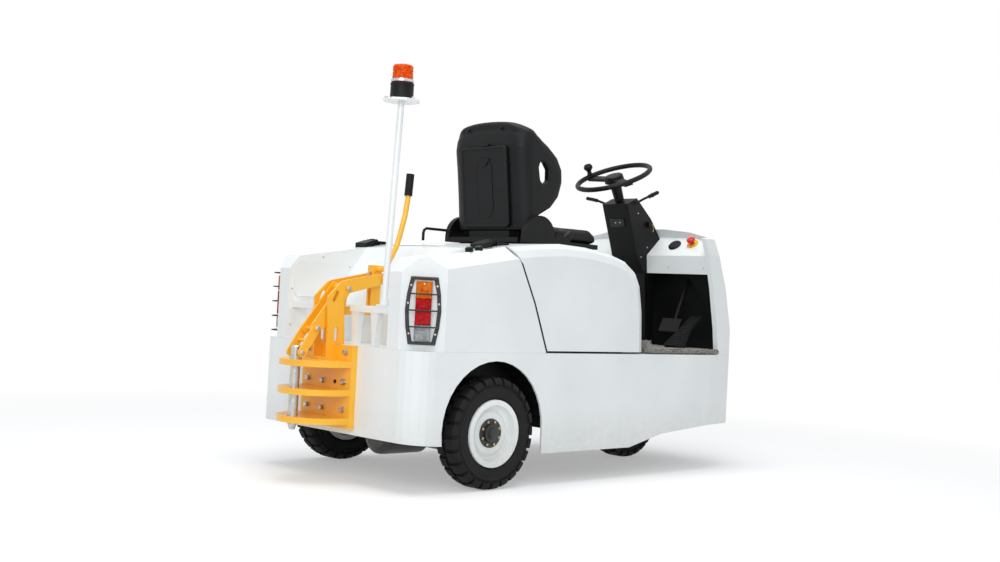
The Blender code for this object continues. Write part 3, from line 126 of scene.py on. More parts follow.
def enamel(name, light, dark, dust, dust_top, roughness, peel=0.003):
    made, tree, shader, place = new_finish(name, light, roughness, Coat_Weight=0.25, Coat_Roughness=0.12)
    ramp = mottle(tree, shader, place, 0.35, light, dark)
    height = add_node(tree, "ShaderNodeSeparateXYZ", {"Vector": place}).outputs["Z"]
    film = add_node(tree, "ShaderNodeMapRange", {"Value": height, "From Min": 0.10, "From Max": dust_top,
                                                 "To Min": 0.55, "To Max": 0.0})
    spots = add_node(tree, "ShaderNodeTexNoise", {"Vector": place, "Scale": 38.0, "Detail": 6.0})
    amount = add_node(tree, "ShaderNodeMath", {0: film.outputs["Result"], 1: spots.outputs["Fac"]},
                      operation="MULTIPLY")
    mix = add_node(tree, "ShaderNodeMix", {"Factor": amount.outputs["Value"], "A": ramp.outputs["Color"],
                                           "B": linear(dust)}, data_type="RGBA")
    # A Mix node keeps one set of sockets a type, so the colour ones are linked by place.
    tree.links.new(ramp.outputs["Color"], mix.inputs[6])
    mix.inputs[7].default_value = linear(dust)
    tree.links.new(mix.outputs[2], shader.inputs["Base Color"])
    gloss(tree, shader, place, 0.05, roughness - 0.05, roughness + 0.08)
    fine = add_node(tree, "ShaderNodeTexNoise", {"Vector": place, "Scale": 1 / peel, "Detail": 2.0})
    relief(tree, shader, fine.outputs["Fac"], 0.00012, 0.35)
    return made


WHITE = enamel("white_two_pack_enamel", "#F1F4F4", "#E9EEEE", "#B9B4A6", 0.30, 0.30)
YELLOW = enamel("yellow_two_pack_enamel", "#FFC232", "#FDB524", "#A56A1C", 0.22, 0.34)
CHASSIS = enamel("underbody_primer", "#8C8474", "#6C6659", "#A39A86", 0.45, 0.55, 0.006)
BLACK = enamel("black_powder_coat", "#101113", "#0A0B0C", "#3A3630", 0.22, 0.42, 0.0018)
print("Paints:", WHITE.name, YELLOW.name, CHASSIS.name, BLACK.name)

# %% [markdown]
# ## Moulded plastic, vinyl and rubber
# The seat shell, the steering column and the wheel are moulded plastic with a spark-eroded grain. The
# seat's skin is self-skinned foam with a leather grain. The tyres are solid rubber: the sidewall is
# semi-matt, and dust stays in the pores. A Voronoi pattern gives the leather its cells.

# %% Plastics and rubber


def grained(name, light, dark, roughness, cell, depth, voronoi=False):
    made, tree, shader, place = new_finish(name, light, roughness, Specular_IOR_Level=0.24)
    mottle(tree, shader, place, 0.06, light, dark)
    gloss(tree, shader, place, 0.03, roughness - 0.06, roughness + 0.08)
    if voronoi:
        cells = add_node(tree, "ShaderNodeTexVoronoi", {"Vector": place, "Scale": 1 / cell},
                         feature="DISTANCE_TO_EDGE")
        relief(tree, shader, cells.outputs["Distance"], depth, 0.6)
    else:
        fine = add_node(tree, "ShaderNodeTexNoise", {"Vector": place, "Scale": 1 / cell, "Detail": 3.0})
        relief(tree, shader, fine.outputs["Fac"], depth, 0.5)
    return made


# The real grain is near 0.8 mm, too fine for the view, so it is drawn at 1.6 mm.
PLASTIC = grained("grained_black_polypropylene", "#090A0C", "#060709", 0.50, 0.0016, 0.00015)
VINYL = grained("leather_grain_foam_skin", "#0C0E11", "#08090B", 0.50, 0.0024, 0.00020, voronoi=True)
RUBBER = grained("solid_tyre_rubber", "#171718", "#101011", 0.66, 0.0030, 0.00018)
GASKET = grained("epdm_seam_rubber", "#1C1E20", "#131516", 0.60, 0.0012, 0.00008)
BATTERY = grained("battery_tray_polypropylene", "#3A3C3F", "#2E3032", 0.55, 0.0040, 0.00020)
STOP_YELLOW = grained("yellow_polyamide_ring", "#F2C21B", "#E0AE10", 0.38, 0.0010, 0.00003)
STOP_RED = grained("red_polyamide_button", "#E0303A", "#CB2028", 0.30, 0.0012, 0.00002)
GREEN_CAP = grained("green_polyethylene_cap", "#2E7F5C", "#246A4B", 0.42, 0.0010, 0.00004)
print("Plastics:", PLASTIC.name, VINYL.name, RUBBER.name)

# %% [markdown]
# ## Bare metal, glass and lenses
# Bolts and the tow pin are zinc-plated steel: grey, fairly bright, and mottled where hands and rain
# have dulled them. A lamp lens is coloured acrylic over a reflector, so it is glossy and shows prisms,
# and it keeps its colour all the way through.

# %% Metals and lenses


def plated(name, light, dark, roughness):
    made, tree, shader, place = new_finish(name, light, roughness, metallic=1.0)
    mottle(tree, shader, place, 0.012, light, dark)
    gloss(tree, shader, place, 0.006, roughness - 0.10, roughness + 0.15)
    fine = add_node(tree, "ShaderNodeTexNoise", {"Vector": place, "Scale": 900.0, "Detail": 2.0})
    relief(tree, shader, fine.outputs["Fac"], 0.00004, 0.4)
    return made


def acrylic(name, light, dark, prism, transmission=0.25, axis="Z"):
    made, tree, shader, place = new_finish(name, light, 0.34, Coat_Weight=0.04, Coat_Roughness=0.10, Specular_IOR_Level=0.12,
                                           Transmission_Weight=transmission, IOR=1.49)
    mottle(tree, shader, place, 0.012, light, dark, 0.30, 0.70, 1.0)
    ribs = add_node(tree, "ShaderNodeTexWave", {"Vector": place, "Scale": 0.314 / prism, "Distortion": 0.0},
                    bands_direction=axis)
    relief(tree, shader, ribs.outputs["Fac"], 0.0006, 0.5)
    return made


STEEL = plated("zinc_plated_steel", "#C9C9C4", "#B2B1AB", 0.34)
BRASS = plated("yellow_passivated_steel", "#C8B98A", "#9A8B5C", 0.38)
CHROME = plated("chromed_steel_band", "#D8DADC", "#B0B4B8", 0.18)
AMBER = acrylic("amber_acrylic_lens", "#E88000", "#C85000", 0.004, 0.0)
RED = acrylic("red_acrylic_lens", "#D00812", "#8E040A", 0.004, 0.0)
CLEAR = acrylic("clear_acrylic_lens", "#DADDDC", "#A8ADAD", 0.004, 0.45)
BEACON = acrylic("orange_polycarbonate_dome", "#F06A08", "#D63A02", 0.005, 0.0)
GLASS = acrylic("fluted_headlamp_glass", "#E4E8EA", "#D4DADD", 0.009, 0.25, "Y")
GAUGE = acrylic("smoked_gauge_window", "#31435C", "#1E2A3C", 0.020, 0.0)

# %% [markdown]
# ## Loop-pile floor mat
# The mat is coiled grey vinyl loop. Its loops are about 4 mm thick and lie in all directions; the dark
# gaps between them are painted shade in the colour noise. Two scales of noise drive both the colour and the depth.

# %% Mat finish
CARPET, carpet_tree, carpet_shader, carpet_place = new_finish("coiled_loop_pile", "#8A8884", 0.85)
# light end: the grey of the loops; dark end: painted shade for the gaps between the loops
carpet_loop_and_gap_shade_ramp = mottle(carpet_tree, carpet_shader, carpet_place, 0.004, "#B6B3AC", "#2A2928", 0.42, 0.60, 2.0)
carpet_cells = add_node(carpet_tree, "ShaderNodeTexVoronoi", {"Vector": carpet_place, "Scale": 210.0})
relief(carpet_tree, carpet_shader, carpet_cells.outputs["Distance"], 0.0025, 0.8)

SLOT_FINISH = {"white_paint": WHITE, "yellow_paint": YELLOW, "chassis_paint": CHASSIS, "black_paint": BLACK,
               "black_plastic": PLASTIC, "seat_vinyl": VINYL, "tyre_rubber": RUBBER, "steel": STEEL,
               "lamp_lens": RED, "beacon_lens": BEACON, "headlamp_lens": GLASS, "stop_red": STOP_RED,
               "carpet": CARPET, "battery_case": BATTERY}
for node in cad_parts.values():
    for place in node.material_slots:
        place.material = SLOT_FINISH[place.material.name.split(".")[0]]
print("CAD nodes finished:", len(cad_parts))

# %% [markdown]
# ## Helpers for modelling
# Every added part starts from a primitive and is shaped in edit mode, as by hand. An operator acts on
# all that is selected, so each helper first leaves nothing selected, and then picks faces or edges by
# their place or by the way they face.

# %% Modelling helpers


def clear_selection():
    if bpy.context.mode != "OBJECT":
        bpy.ops.object.mode_set(mode="OBJECT")
    bpy.ops.object.select_all(action="DESELECT")


def begin(name, kind="FACE"):
    """Names the primitive just added and opens it for editing, with all of it selected."""
    piece = bpy.context.active_object
    piece.name = name
    piece.data.name = name
    bpy.ops.object.mode_set(mode="EDIT")
    bpy.ops.mesh.select_mode(type=kind)
    bpy.ops.mesh.select_all(action="SELECT")
    return piece


def add_box(name, low, high):
    clear_selection()
    middle = [(a + b) / 2 for a, b in zip(low, high)]
    bpy.ops.mesh.primitive_cube_add(size=1, location=middle)
    bpy.context.active_object.scale = [b - a for a, b in zip(low, high)]
    bpy.ops.object.transform_apply(location=True, rotation=True, scale=True)
    return begin(name)


def add_disc(name, radius, low, high, sides):
    """A drum that stands on z = low, open for editing."""
    clear_selection()
    bpy.ops.mesh.primitive_cylinder_add(radius=radius, depth=high - low, vertices=sides,
                                        location=(0, 0, (low + high) / 2))
    bpy.ops.object.transform_apply(location=True, rotation=True, scale=True)
    return begin(name)


def pick(piece, test, kind="faces"):
    """Selects the faces, edges or verts that pass the test of their middle and direction."""
    work = bmesh.from_edit_mesh(piece.data)
    bpy.ops.mesh.select_all(action="DESELECT")
    work = bmesh.from_edit_mesh(piece.data)
    count = 0
    for item in getattr(work, kind):
        if kind == "faces":
            chosen = test(item.calc_center_median(), item.normal)
        elif kind == "edges":
            ends = [vert.co for vert in item.verts]
            chosen = test((ends[0] + ends[1]) / 2, (ends[1] - ends[0]).normalized())
        else:
            chosen = test(item.co, item.normal)
        if chosen:
            item.select_set(True)
            count += 1
    work.select_flush_mode()
    bmesh.update_edit_mesh(piece.data)
    return count


def move(x=0.0, y=0.0, z=0.0):
    bpy.ops.transform.translate(value=(x, y, z))


def trace(name, points):
    """A line of edges through the points, drawn by extruding one vertex from place to place."""
    clear_selection()
    bpy.ops.mesh.primitive_plane_add(size=0.001, location=points[0])
    piece = begin(name, "VERT")
    bpy.ops.mesh.merge(type="CENTER")
    for here, there in zip(points, points[1:]):
        step = Vector(there) - Vector(here)
        bpy.ops.mesh.extrude_region_move(TRANSFORM_OT_translate={"value": step})
    clear_selection()
    piece.select_set(True)
    bpy.context.view_layer.objects.active = piece
    bpy.ops.object.transform_apply(location=True, rotation=True, scale=True)
    return piece


def spin(piece, steps, centre, axis):
    """Turns the traced outline once round the axis."""
    bpy.ops.object.mode_set(mode="EDIT")
    bpy.ops.mesh.select_mode(type="VERT")
    bpy.ops.mesh.select_all(action="SELECT")
    bpy.ops.mesh.spin(steps=steps, angle=math.tau, center=centre, axis=axis)
    bpy.ops.mesh.select_all(action="SELECT")
    bpy.ops.mesh.remove_doubles(threshold=0.00005)
    bpy.ops.mesh.normals_make_consistent(inside=False)
    return piece


def tube(name, points, radius, sides=4):
    """A round bar along a line: the line becomes a curve with a round section, then a mesh."""
    piece = trace(name, points)
    bpy.ops.object.convert(target="CURVE")
    piece = bpy.context.active_object
    piece.data.bevel_depth = radius
    piece.data.bevel_resolution = sides
    piece.data.use_fill_caps = True
    bpy.ops.object.convert(target="MESH")
    return bpy.context.active_object


def modify(piece, kind, **settings):
    clear_selection()
    piece.select_set(True)
    bpy.context.view_layer.objects.active = piece
    step = piece.modifiers.new(kind.lower(), kind)
    for name, value in settings.items():
        setattr(step, name, value)
    bpy.ops.object.modifier_apply(modifier=step.name)
    return piece


def settle(piece, finish, body, place=None, angle=35, flip=True):
    """Puts the place into the mesh, closes and smooths it, and hangs the piece on its body."""
    clear_selection()
    piece.select_set(True)
    bpy.context.view_layer.objects.active = piece
    if place is not None:
        piece.matrix_world = place
    bpy.ops.object.transform_apply(location=True, rotation=True, scale=True)
    if flip:
        bpy.ops.object.mode_set(mode="EDIT")
        bpy.ops.mesh.select_all(action="SELECT")
        bpy.ops.mesh.remove_doubles(threshold=0.00003)
        bpy.ops.mesh.normals_make_consistent(inside=False)
        bpy.ops.object.mode_set(mode="OBJECT")
    bpy.ops.object.shade_smooth_by_angle(angle=math.radians(angle))
    piece.data.materials.clear()
    piece.data.materials.append(finish)
    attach(piece, body)
    return piece


def copies(name, source, places):
    """Copies of one model at many places, each with its own mesh, joined into one piece."""
    clear_selection()
    made = []
    for place in places:
        copy = bpy.data.objects.new(name, source.data.copy())
        bpy.context.scene.collection.objects.link(copy)
        copy.matrix_world = place
        copy.select_set(True)
        made.append(copy)
    bpy.context.view_layer.objects.active = made[0]
    bpy.ops.object.transform_apply(location=True, rotation=True, scale=True)
    if len(made) > 1:
        bpy.ops.object.join()
    piece = bpy.context.active_object
    piece.name = name
    piece.data.name = name
    return piece


def facing(point, direction, turn=0.0):
    """A place at the point whose z runs along the direction."""
    aim = Vector(direction).normalized().to_track_quat("Z", "Y").to_matrix().to_4x4()
    return Matrix.Translation(point) @ aim @ Matrix.Rotation(math.radians(turn), 4, "Z")


def drop(piece):
    bpy.data.objects.remove(piece)


# %% [markdown]
# ## Solid tyres with lugs
# A solid tyre is pressed in a mould: a smooth sidewall with a raised ring, and lugs that start at the
# shoulder and stop short of the middle. The section is traced once and spun once round the axle. Then
# the lug faces are picked by angle and pushed out together, left and right lugs half a pitch apart.

# %% Tyres
TREAD_STEPS = 100
LUG = 0.0105


def make_tyre(name, node, body):
    low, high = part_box(node)
    x, y, z = [(a + b) / 2 for a, b in zip(low, high)]
    radius = (high.z - low.z) / 2
    wide = (high.y - low.y) / 2
    tread = radius - LUG
    side = [(0.127, wide - 0.0125), (0.134, wide - 0.0055), (0.146, wide - 0.0030), (0.158, wide - 0.0022),
            (0.1665, wide - 0.0026), (0.1680, wide - 0.0006), (0.1715, wide - 0.0008), (0.1728, wide - 0.0040),
            (0.1800, wide - 0.0070), (tread - 0.010, wide - 0.0085), (tread - 0.002, wide - 0.0150),
            (tread, wide - 0.0240), (tread, 0.0070)]
    section = [(r, w) for r, w in side] + [(r, -w) for r, w in reversed(side)]
    section += [(0.1130, 0.0085 - wide + 0.012), (0.1130, wide - 0.0205), section[0]]
    piece = trace(name, [(x, y + w, z + r) for r, w in section])
    spin(piece, TREAD_STEPS, (x, y, z), (0, 1, 0))
    bpy.ops.mesh.select_mode(type="FACE")
    step = math.tau / TREAD_STEPS

    def is_lug(middle, normal):
        reach = math.hypot(middle.x - x, middle.z - z)
        across = middle.y - y
        if reach < 0.1775 or abs(across) < 0.0075 or reach > radius + 0.01:
            return False
        turn = int((math.atan2(middle.z - z, middle.x - x) % math.tau) / step)
        return turn % 4 != (0 if across > 0 else 2)

    count = pick(piece, is_lug)
    bpy.ops.mesh.extrude_region_shrink_fatten(TRANSFORM_OT_shrink_fatten={"value": LUG})
    bpy.ops.object.mode_set(mode="OBJECT")
    for vert in piece.data.vertices:
        vert.co.y = min(max(vert.co.y, low.y), high.y)
        reach = math.hypot(vert.co.x - x, vert.co.z - z)
        if reach > radius:
            vert.co.x = x + (vert.co.x - x) * radius / reach
            vert.co.z = z + (vert.co.z - z) * radius / reach
    modify(piece, "BEVEL", width=0.0012, segments=1, limit_method="ANGLE", angle_limit=math.radians(38))
    settle(piece, RUBBER, body, angle=30)
    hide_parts(node)
    print(name, "lug faces", count, "polygons", len(piece.data.polygons))
    return piece


make_tyre("tread_tyre_right", "rear_tyre_right", "rear_wheel_right")
make_tyre("tread_tyre_left", "rear_tyre_left", "rear_wheel_left")
make_tyre("tread_tyre_front", "front_tyre", "front_wheel")

# %% [markdown]
# ## Bolts
# Hexagon bolts with a washer hold the hitch and the wheels. One bolt is modelled and copied. The head
# is a six-sided drum with its top edge bevelled and a shallow dish inset in the top.

# %% One bolt


def make_bolt(across, height, washer):
    head = add_disc("bolt", across / math.sqrt(3), washer, washer + height, 6)
    pick(head, lambda middle, normal: normal.z > 0.9)
    bpy.ops.mesh.inset(thickness=across * 0.08, depth=across * 0.04)
    bpy.ops.mesh.inset(thickness=across * 0.10, depth=-across * 0.03)
    bpy.ops.object.mode_set(mode="OBJECT")
    ring = add_disc("bolt_washer", across * 0.72, 0, washer, 20)
    pick(ring, lambda middle, normal: normal.z > 0.9)
    bpy.ops.mesh.inset(thickness=across * 0.05, depth=across * 0.02)
    bpy.ops.object.mode_set(mode="OBJECT")
    clear_selection()
    ring.select_set(True)
    head.select_set(True)
    bpy.context.view_layer.objects.active = head
    bpy.ops.object.join()
    return head


def make_rivet(radius, height):
    """A domed head: a drum whose top is inset and raised in two steps."""
    head = add_disc("rivet", radius, 0, height * 0.35, 16)
    pick(head, lambda middle, normal: normal.z > 0.9)
    bpy.ops.mesh.inset(thickness=radius * 0.18, depth=height * 0.35)
    bpy.ops.mesh.inset(thickness=radius * 0.35, depth=height * 0.28)
    bpy.ops.object.mode_set(mode="OBJECT")
    return head


BOLT = make_bolt(0.017, 0.010, 0.002)
SMALL_BOLT = make_bolt(0.010, 0.006, 0.0012)
RIVET = make_rivet(0.0042, 0.0030)
SCREW = make_rivet(0.0036, 0.0022)
PIVOT_HEAD = make_rivet(0.0100, 0.0045)

# %% [markdown]
# ## Wheel nuts
# Each hub is held by eight nuts, plated with a yellow passivation. The steel disc outside them has
# alternating round holes.

# %% Wheel fittings
for side, sign in (("left", 1), ("right", -1)):
    low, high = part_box(f"rear_hub_{side}")
    centre = Vector(((low.x + high.x) / 2, 0, (low.z + high.z) / 2))
    face = sign * (high.y - 0.022 if sign > 0 else -(low.y + 0.022))
    places = []
    for number in range(8):
        turn = math.radians(22.5 + 45 * number)
        point = (centre.x + 0.0445 * math.cos(turn), sign * (abs(face) - 0.0045), centre.z + 0.0445 * math.sin(turn))
        places.append(facing(point, (0, sign, 0), 15 * number))
    nuts = copies(f"wheel_nuts_{side}", SMALL_BOLT, places)
    settle(nuts, BRASS, f"rear_wheel_{side}")
print("Wheel nuts at y", round(face, 4))

# %% [markdown]
# ## Tail lamps
# A tail lamp is a stack of lenses on one base: amber indicator at the top, red stop cells below it, a
# plain red reflector, and a clear reversing lamp. Each lens is a block with a bevelled rim, and the
# cells are drums rounded with insets. The stack is built flat and then turned onto the corner facet.

# %% Tail lamps
FACET = Vector((0.7712, 0.6366, 0))
FACET_MIDDLE = Vector((-0.814, 0.426, 0))
LAMP_DEPTH = 0.0235


def facet_place(sign):
    """x runs along the corner facet, y out of it and z up."""
    along = Vector((FACET.x, sign * FACET.y, 0))
    out = Vector((-FACET.y, sign * FACET.x, 0))
    turn = Matrix((along, out, Vector((0, 0, 1)))).transposed().to_4x4()
    return Matrix.Translation((FACET_MIDDLE.x, sign * FACET_MIDDLE.y, 0)) @ turn


def lens_block(name, low_z, high_z, half, cells):
    piece = add_box(name, (-half, 0.003, low_z), (half, LAMP_DEPTH - 0.004, high_z))
    pick(piece, lambda middle, normal: normal.y > 0.9)
    bpy.ops.mesh.inset(thickness=0.003, depth=0.0035)
    bpy.ops.mesh.inset(thickness=0.0015, depth=-0.001)
    bpy.ops.object.mode_set(mode="OBJECT")
    modify(piece, "BEVEL", width=0.0012, segments=2, limit_method="ANGLE", angle_limit=math.radians(30))
    if cells:
        dome = make_rivet(0.0088, 0.0042)
        spots = [facing((x, LAMP_DEPTH - 0.003, z), (0, 1, 0)) for x, z in cells]
        domes = copies(name + "_cells", dome, spots)
        drop(dome)
        clear_selection()
        domes.select_set(True)
        piece.select_set(True)
        bpy.context.view_layer.objects.active = piece
        bpy.ops.object.join()
    return piece


lamp_low, lamp_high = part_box("tail_lamp_right")
tall = lamp_high.z - lamp_low.z
half = 0.0275
levels = [lamp_high.z - share * tall for share in (0.0, 0.295, 0.51, 0.74, 1.0)]
for side, sign in (("left", 1), ("right", -1)):
    place = facet_place(sign)
    base = add_box(f"lamp_base_{side}", (-0.0285, 0.0006, lamp_low.z), (0.0285, 0.006, lamp_high.z))
    pick(base, lambda middle, normal: normal.y > 0.9)
    bpy.ops.mesh.inset(thickness=0.002, depth=0.001)
    settle(base, PLASTIC, "chassis", place)
    amber_z = (levels[0] + levels[1]) / 2 - 0.008
    red_z = (levels[1] + levels[2]) / 2
    amber_cells = [(x, amber_z + z) for x in (-0.0125, 0.0125) for z in (-0.0115, 0.0095)]
    red_cells = [(x, red_z + z) for x in (-0.0125, 0.0125) for z in (-0.0110, 0.0110)]
    parts = (("amber", AMBER, levels[1] + 0.0005, levels[0], amber_cells),
             ("stop", RED, levels[2] + 0.0005, levels[1] - 0.0005, red_cells),
             ("reflector", RED, levels[3] + 0.0005, levels[2] - 0.0005, ()),
             ("reversing", CLEAR, levels[4], levels[3] - 0.0005, [(-0.0125, levels[4] + 0.018), (0.0125, levels[4] + 0.018)]))
    made = []
    for title, finish, low_z, high_z, cells in parts:
        lens = lens_block(f"lens_{title}_{side}", low_z, high_z, half, cells)
        settle(lens, finish, "chassis", place)
        made.append(lens)
    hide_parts(f"tail_lamp_{side}")
    # rivets on the guard's side strips, and the lens screw
    spots = []
    for height in (0.735, 0.672, 0.565):
        reach = 0.0645 - 0.0160 * min(1.0, abs(height - 0.648) / 0.120) - 0.007
        spots += [facing((edge * reach, 0.0035, height), (0, 1, 0)) for edge in (-1, 1)]
    rivets = copies(f"guard_rivets_{side}", RIVET, spots + [facing((0, LAMP_DEPTH - 0.002, lamp_high.z - 0.010), (0, 1, 0))])
    settle(rivets, STEEL, "chassis", place)
print("Tail lamp height", round(tall, 3))

# %% [markdown]
# ## Beacon
# The beacon's dome is a fluted drum of orange polycarbonate held by a chromed band with a screw. The
# section is traced and spun in twice as many steps as there are flutes, and every other column of
# faces is pushed in, which makes the flutes.

# %% Beacon
low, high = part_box("beacon_lens")
beacon_x = (low.x + high.x) / 2
beacon_y = (low.y + high.y) / 2
wide = (high.x - low.x) / 2
rings = [(0.0, 0.004), (wide * 0.55, 0.003), (wide * 0.86, 0.0), (wide * 0.95, -0.005), (wide * 0.955, -0.021),
         (wide * 0.90, -0.024), (wide * 0.955, -0.027), (wide * 0.985, high.z * 0 - 0.058), (wide * 0.985, -0.0675)]
dome = trace("beacon_dome", [(beacon_x + r, beacon_y, high.z - 0.0045 + h) for r, h in rings] +
             [(beacon_x, beacon_y, high.z - 0.0045 - 0.0675)])
spin(dome, 96, (beacon_x, beacon_y, low.z), (0, 0, 1))
bpy.ops.mesh.select_mode(type="FACE")


def is_flute(middle, normal):
    turn = int((math.atan2(middle.y - beacon_y, middle.x - beacon_x) % math.tau) / (math.tau / 96))
    return turn % 2 == 0 and abs(normal.z) < 0.5 and middle.z > low.z + 0.012


pick(dome, is_flute)
bpy.ops.mesh.inset(thickness=0.0003, depth=-0.0007, use_individual=True)
settle(dome, BEACON, "chassis", angle=30)
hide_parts("beacon_lens")
band_outline = [(wide + 0.0005, 0.0115), (wide + 0.003, 0.0105), (wide + 0.0036, 0.006), (wide + 0.003, 0.001), (wide - 0.001, 0.0003),
                (wide - 0.001, 0.0115), (wide + 0.0005, 0.0115)]
band = trace("beacon_band", [(beacon_x + r, beacon_y, low.z + h) for r, h in band_outline])
spin(band, 64, (beacon_x, beacon_y, low.z), (0, 0, 1))
settle(band, CHROME, "chassis", angle=25)

# %% [markdown]
# ## Bolts on the hitch and the linkage
# The hitch plate is held to the body by bolts between the jaws and beside the bracket. The levers turn
# on plated pins whose heads show. Each set rides on the body that it belongs to. The hole between the top bolts is a
# dark disc: painted shade.

# %% Hitch bolts
plate_x = -0.904
spots = [(plate_x, 0.016, 0.368), (plate_x, -0.109, 0.370), (plate_x, 0.109, 0.370), (plate_x, 0.016, 0.267),
         (plate_x, -0.110, 0.268), (plate_x, 0.110, 0.268), (plate_x, -0.114, 0.479), (plate_x, 0.114, 0.479)]
bolts = copies("hitch_bolts", BOLT, [facing(spot, (-1, 0, 0), 9 * number) for number, spot in enumerate(spots)])
settle(bolts, STEEL, "chassis")
# painted shade: a dark disc with a shallow dish fills the hole in the plate and stands in for the shade inside it
hole_shade_disc = add_disc("hitch_hole_shade_disc", 0.0075, 0.0, 0.0022, 24)
pick(hole_shade_disc, lambda middle, normal: normal.z > 0.9)
bpy.ops.mesh.inset(thickness=0.0020, depth=-0.0008)
settle(hole_shade_disc, GASKET, "chassis", facing((plate_x, -0.057, 0.368), (-1, 0, 0)))

# %% [markdown]
# ## Rubber seam between the cowl and the hood
# A strip of soft rubber fills the joint between the rear cowl and the hood, and it shows as a dark
# line. Its line is traced up the side, over the shoulder and along the deck, and a Solidify modifier
# gives the strip its thickness.

# %% Seam rubber
SEAM_SIDE = [(-0.228, 0.507), (-0.307, 0.692), (-0.386, 0.839)]
SEAM_WIDTH = 0.0080
for side, sign in (("left", 1), ("right", -1)):
    path = [(-0.2285, sign * 0.4765, 0.5065), (-0.2672, sign * 0.4765, 0.600), (-0.3070, sign * 0.4765, 0.692),
            (-0.3860, sign * 0.4760, 0.839), (-0.4100, sign * 0.4560, 0.869), (-0.4290, sign * 0.4310, 0.8955)]
    strip = trace(f"seam_rubber_{side}", path)
    bpy.ops.object.mode_set(mode="EDIT")
    bpy.ops.mesh.select_all(action="SELECT")
    bpy.ops.mesh.extrude_region_move(TRANSFORM_OT_translate={"value": (SEAM_WIDTH, 0, 0)})
    bpy.ops.object.mode_set(mode="OBJECT")
    modify(strip, "SOLIDIFY", thickness=0.006, offset=0)
    modify(strip, "BEVEL", width=0.0012, segments=2, limit_method="ANGLE", angle_limit=math.radians(40))
    settle(strip, GASKET, "chassis")
print("Seam strips", SEAM_WIDTH)

# %% [markdown]
# ## Seat shell
# The seat is one moulding: a back, two wings with a hand hole, and a thick roll along the upper edge.
# Moulded foam skin has no sharp corners. A copy of the CAD shell is joined with a round bar along the
# edge, and a voxel Remesh and a Smooth modifier melt the two into one soft form.

# %% Seat shell


def copy_of(name, node):
    """A merged copy of a CAD node's triangles, which is free to be reshaped."""
    piece = bpy.data.objects.new(name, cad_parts[node].data.copy())
    bpy.context.scene.collection.objects.link(piece)
    clear_selection()
    piece.select_set(True)
    bpy.context.view_layer.objects.active = piece
    bpy.ops.object.mode_set(mode="EDIT")
    bpy.ops.mesh.select_all(action="SELECT")
    bpy.ops.mesh.remove_doubles(threshold=0.00005)
    bpy.ops.object.mode_set(mode="OBJECT")
    return piece


def joined(first, *others):
    clear_selection()
    for other in others:
        other.select_set(True)
    first.select_set(True)
    bpy.context.view_layer.objects.active = first
    bpy.ops.object.join()
    return first


WING = [(-0.030, 1.070), (0.030, 1.102), (0.068, 1.145), (0.084, 1.200), (0.080, 1.250), (0.052, 1.305),
        (0.000, 1.352), (-0.060, 1.392), (-0.105, 1.411), (-0.132, 1.414)]
ROLL_Y = 0.196
edge = [(x, -ROLL_Y, z) for x, z in WING] + [(-0.136, -0.150, 1.4165), (-0.137, 0, 1.418), (-0.136, 0.150, 1.4165)]
edge += [(x, ROLL_Y, z) for x, z in reversed(WING)]
shell = joined(copy_of("seat_shell", "seat_back"), tube("seat_roll", edge, 0.0175, 5))
modify(shell, "REMESH", mode="VOXEL", voxel_size=0.0048)
# The upper corners fall away to the sides, and the back's vertical corners are rounded off.
for vert in shell.data.vertices:
    side_share = min(abs(vert.co.y) / 0.215, 1.0)
    height_share = min(max((vert.co.z - 1.24) / 0.18, 0.0), 1.0)
    vert.co.z -= 0.042 * side_share ** 3.0 * height_share
    corner = max((abs(vert.co.y) - 0.142) / 0.073, 0.0)
    rear = min(max((-0.030 - vert.co.x) / 0.10, 0.0), 1.0)
    vert.co.x += 0.034 * corner ** 2 * rear
modify(shell, "SMOOTH", factor=0.5, iterations=7)
settle(shell, VINYL, "hood", angle=60, flip=False)
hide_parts("seat_back")
print("Seat shell polygons:", len(shell.data.polygons))

# two blind holes on the back of the roll
HOLE = add_disc("roll_hole", 0.0062, 0, 0.004, 20)
pick(HOLE, lambda middle, normal: normal.z > 0.9)
bpy.ops.mesh.inset(thickness=0.0016, depth=0.0006)
bpy.ops.mesh.inset(thickness=0.0006, depth=-0.0035)
bpy.ops.object.mode_set(mode="OBJECT")
cups = copies("roll_holes", HOLE, [facing((-0.1555, y, 1.402), (-0.95, 0, 0.32)) for y in (-0.085, 0.110)])
settle(cups, BLACK, "hood")
drop(HOLE)

# %% [markdown]
# ## Document lid
# The lid on the seat's back is a tray moulding: a raised rounded border, a flat field, and a long
# shallow channel with a finger grip at its top. The border comes from insets. The channel is a drum
# stretched into a slot, with a lip and a sunk floor made by two more insets.

# %% Document lid
LID_LOW_Z = 0.998
lid_low, lid_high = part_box("document_lid")
LID_PLACE = Matrix.Translation((-0.1155, 0, LID_LOW_Z)) @ Matrix.Rotation(math.radians(-7.4), 4, "Y")
lid_half = lid_high.y - 0.001
lid_tall = 0.334
lid = add_box("seat_document_lid", (-0.0115, -lid_half, 0.0), (-0.0015, lid_half, lid_tall))
pick(lid, lambda middle, direction: abs(direction.x) > 0.9, "edges")
bpy.ops.mesh.bevel(offset=0.020, segments=8)
bpy.ops.mesh.select_mode(type="FACE")
pick(lid, lambda middle, normal: normal.x < -0.9)
bpy.ops.mesh.inset(thickness=0.003, depth=0.0028)
bpy.ops.mesh.inset(thickness=0.007, depth=0.0)
bpy.ops.mesh.inset(thickness=0.003, depth=-0.0034)
bpy.ops.object.mode_set(mode="OBJECT")


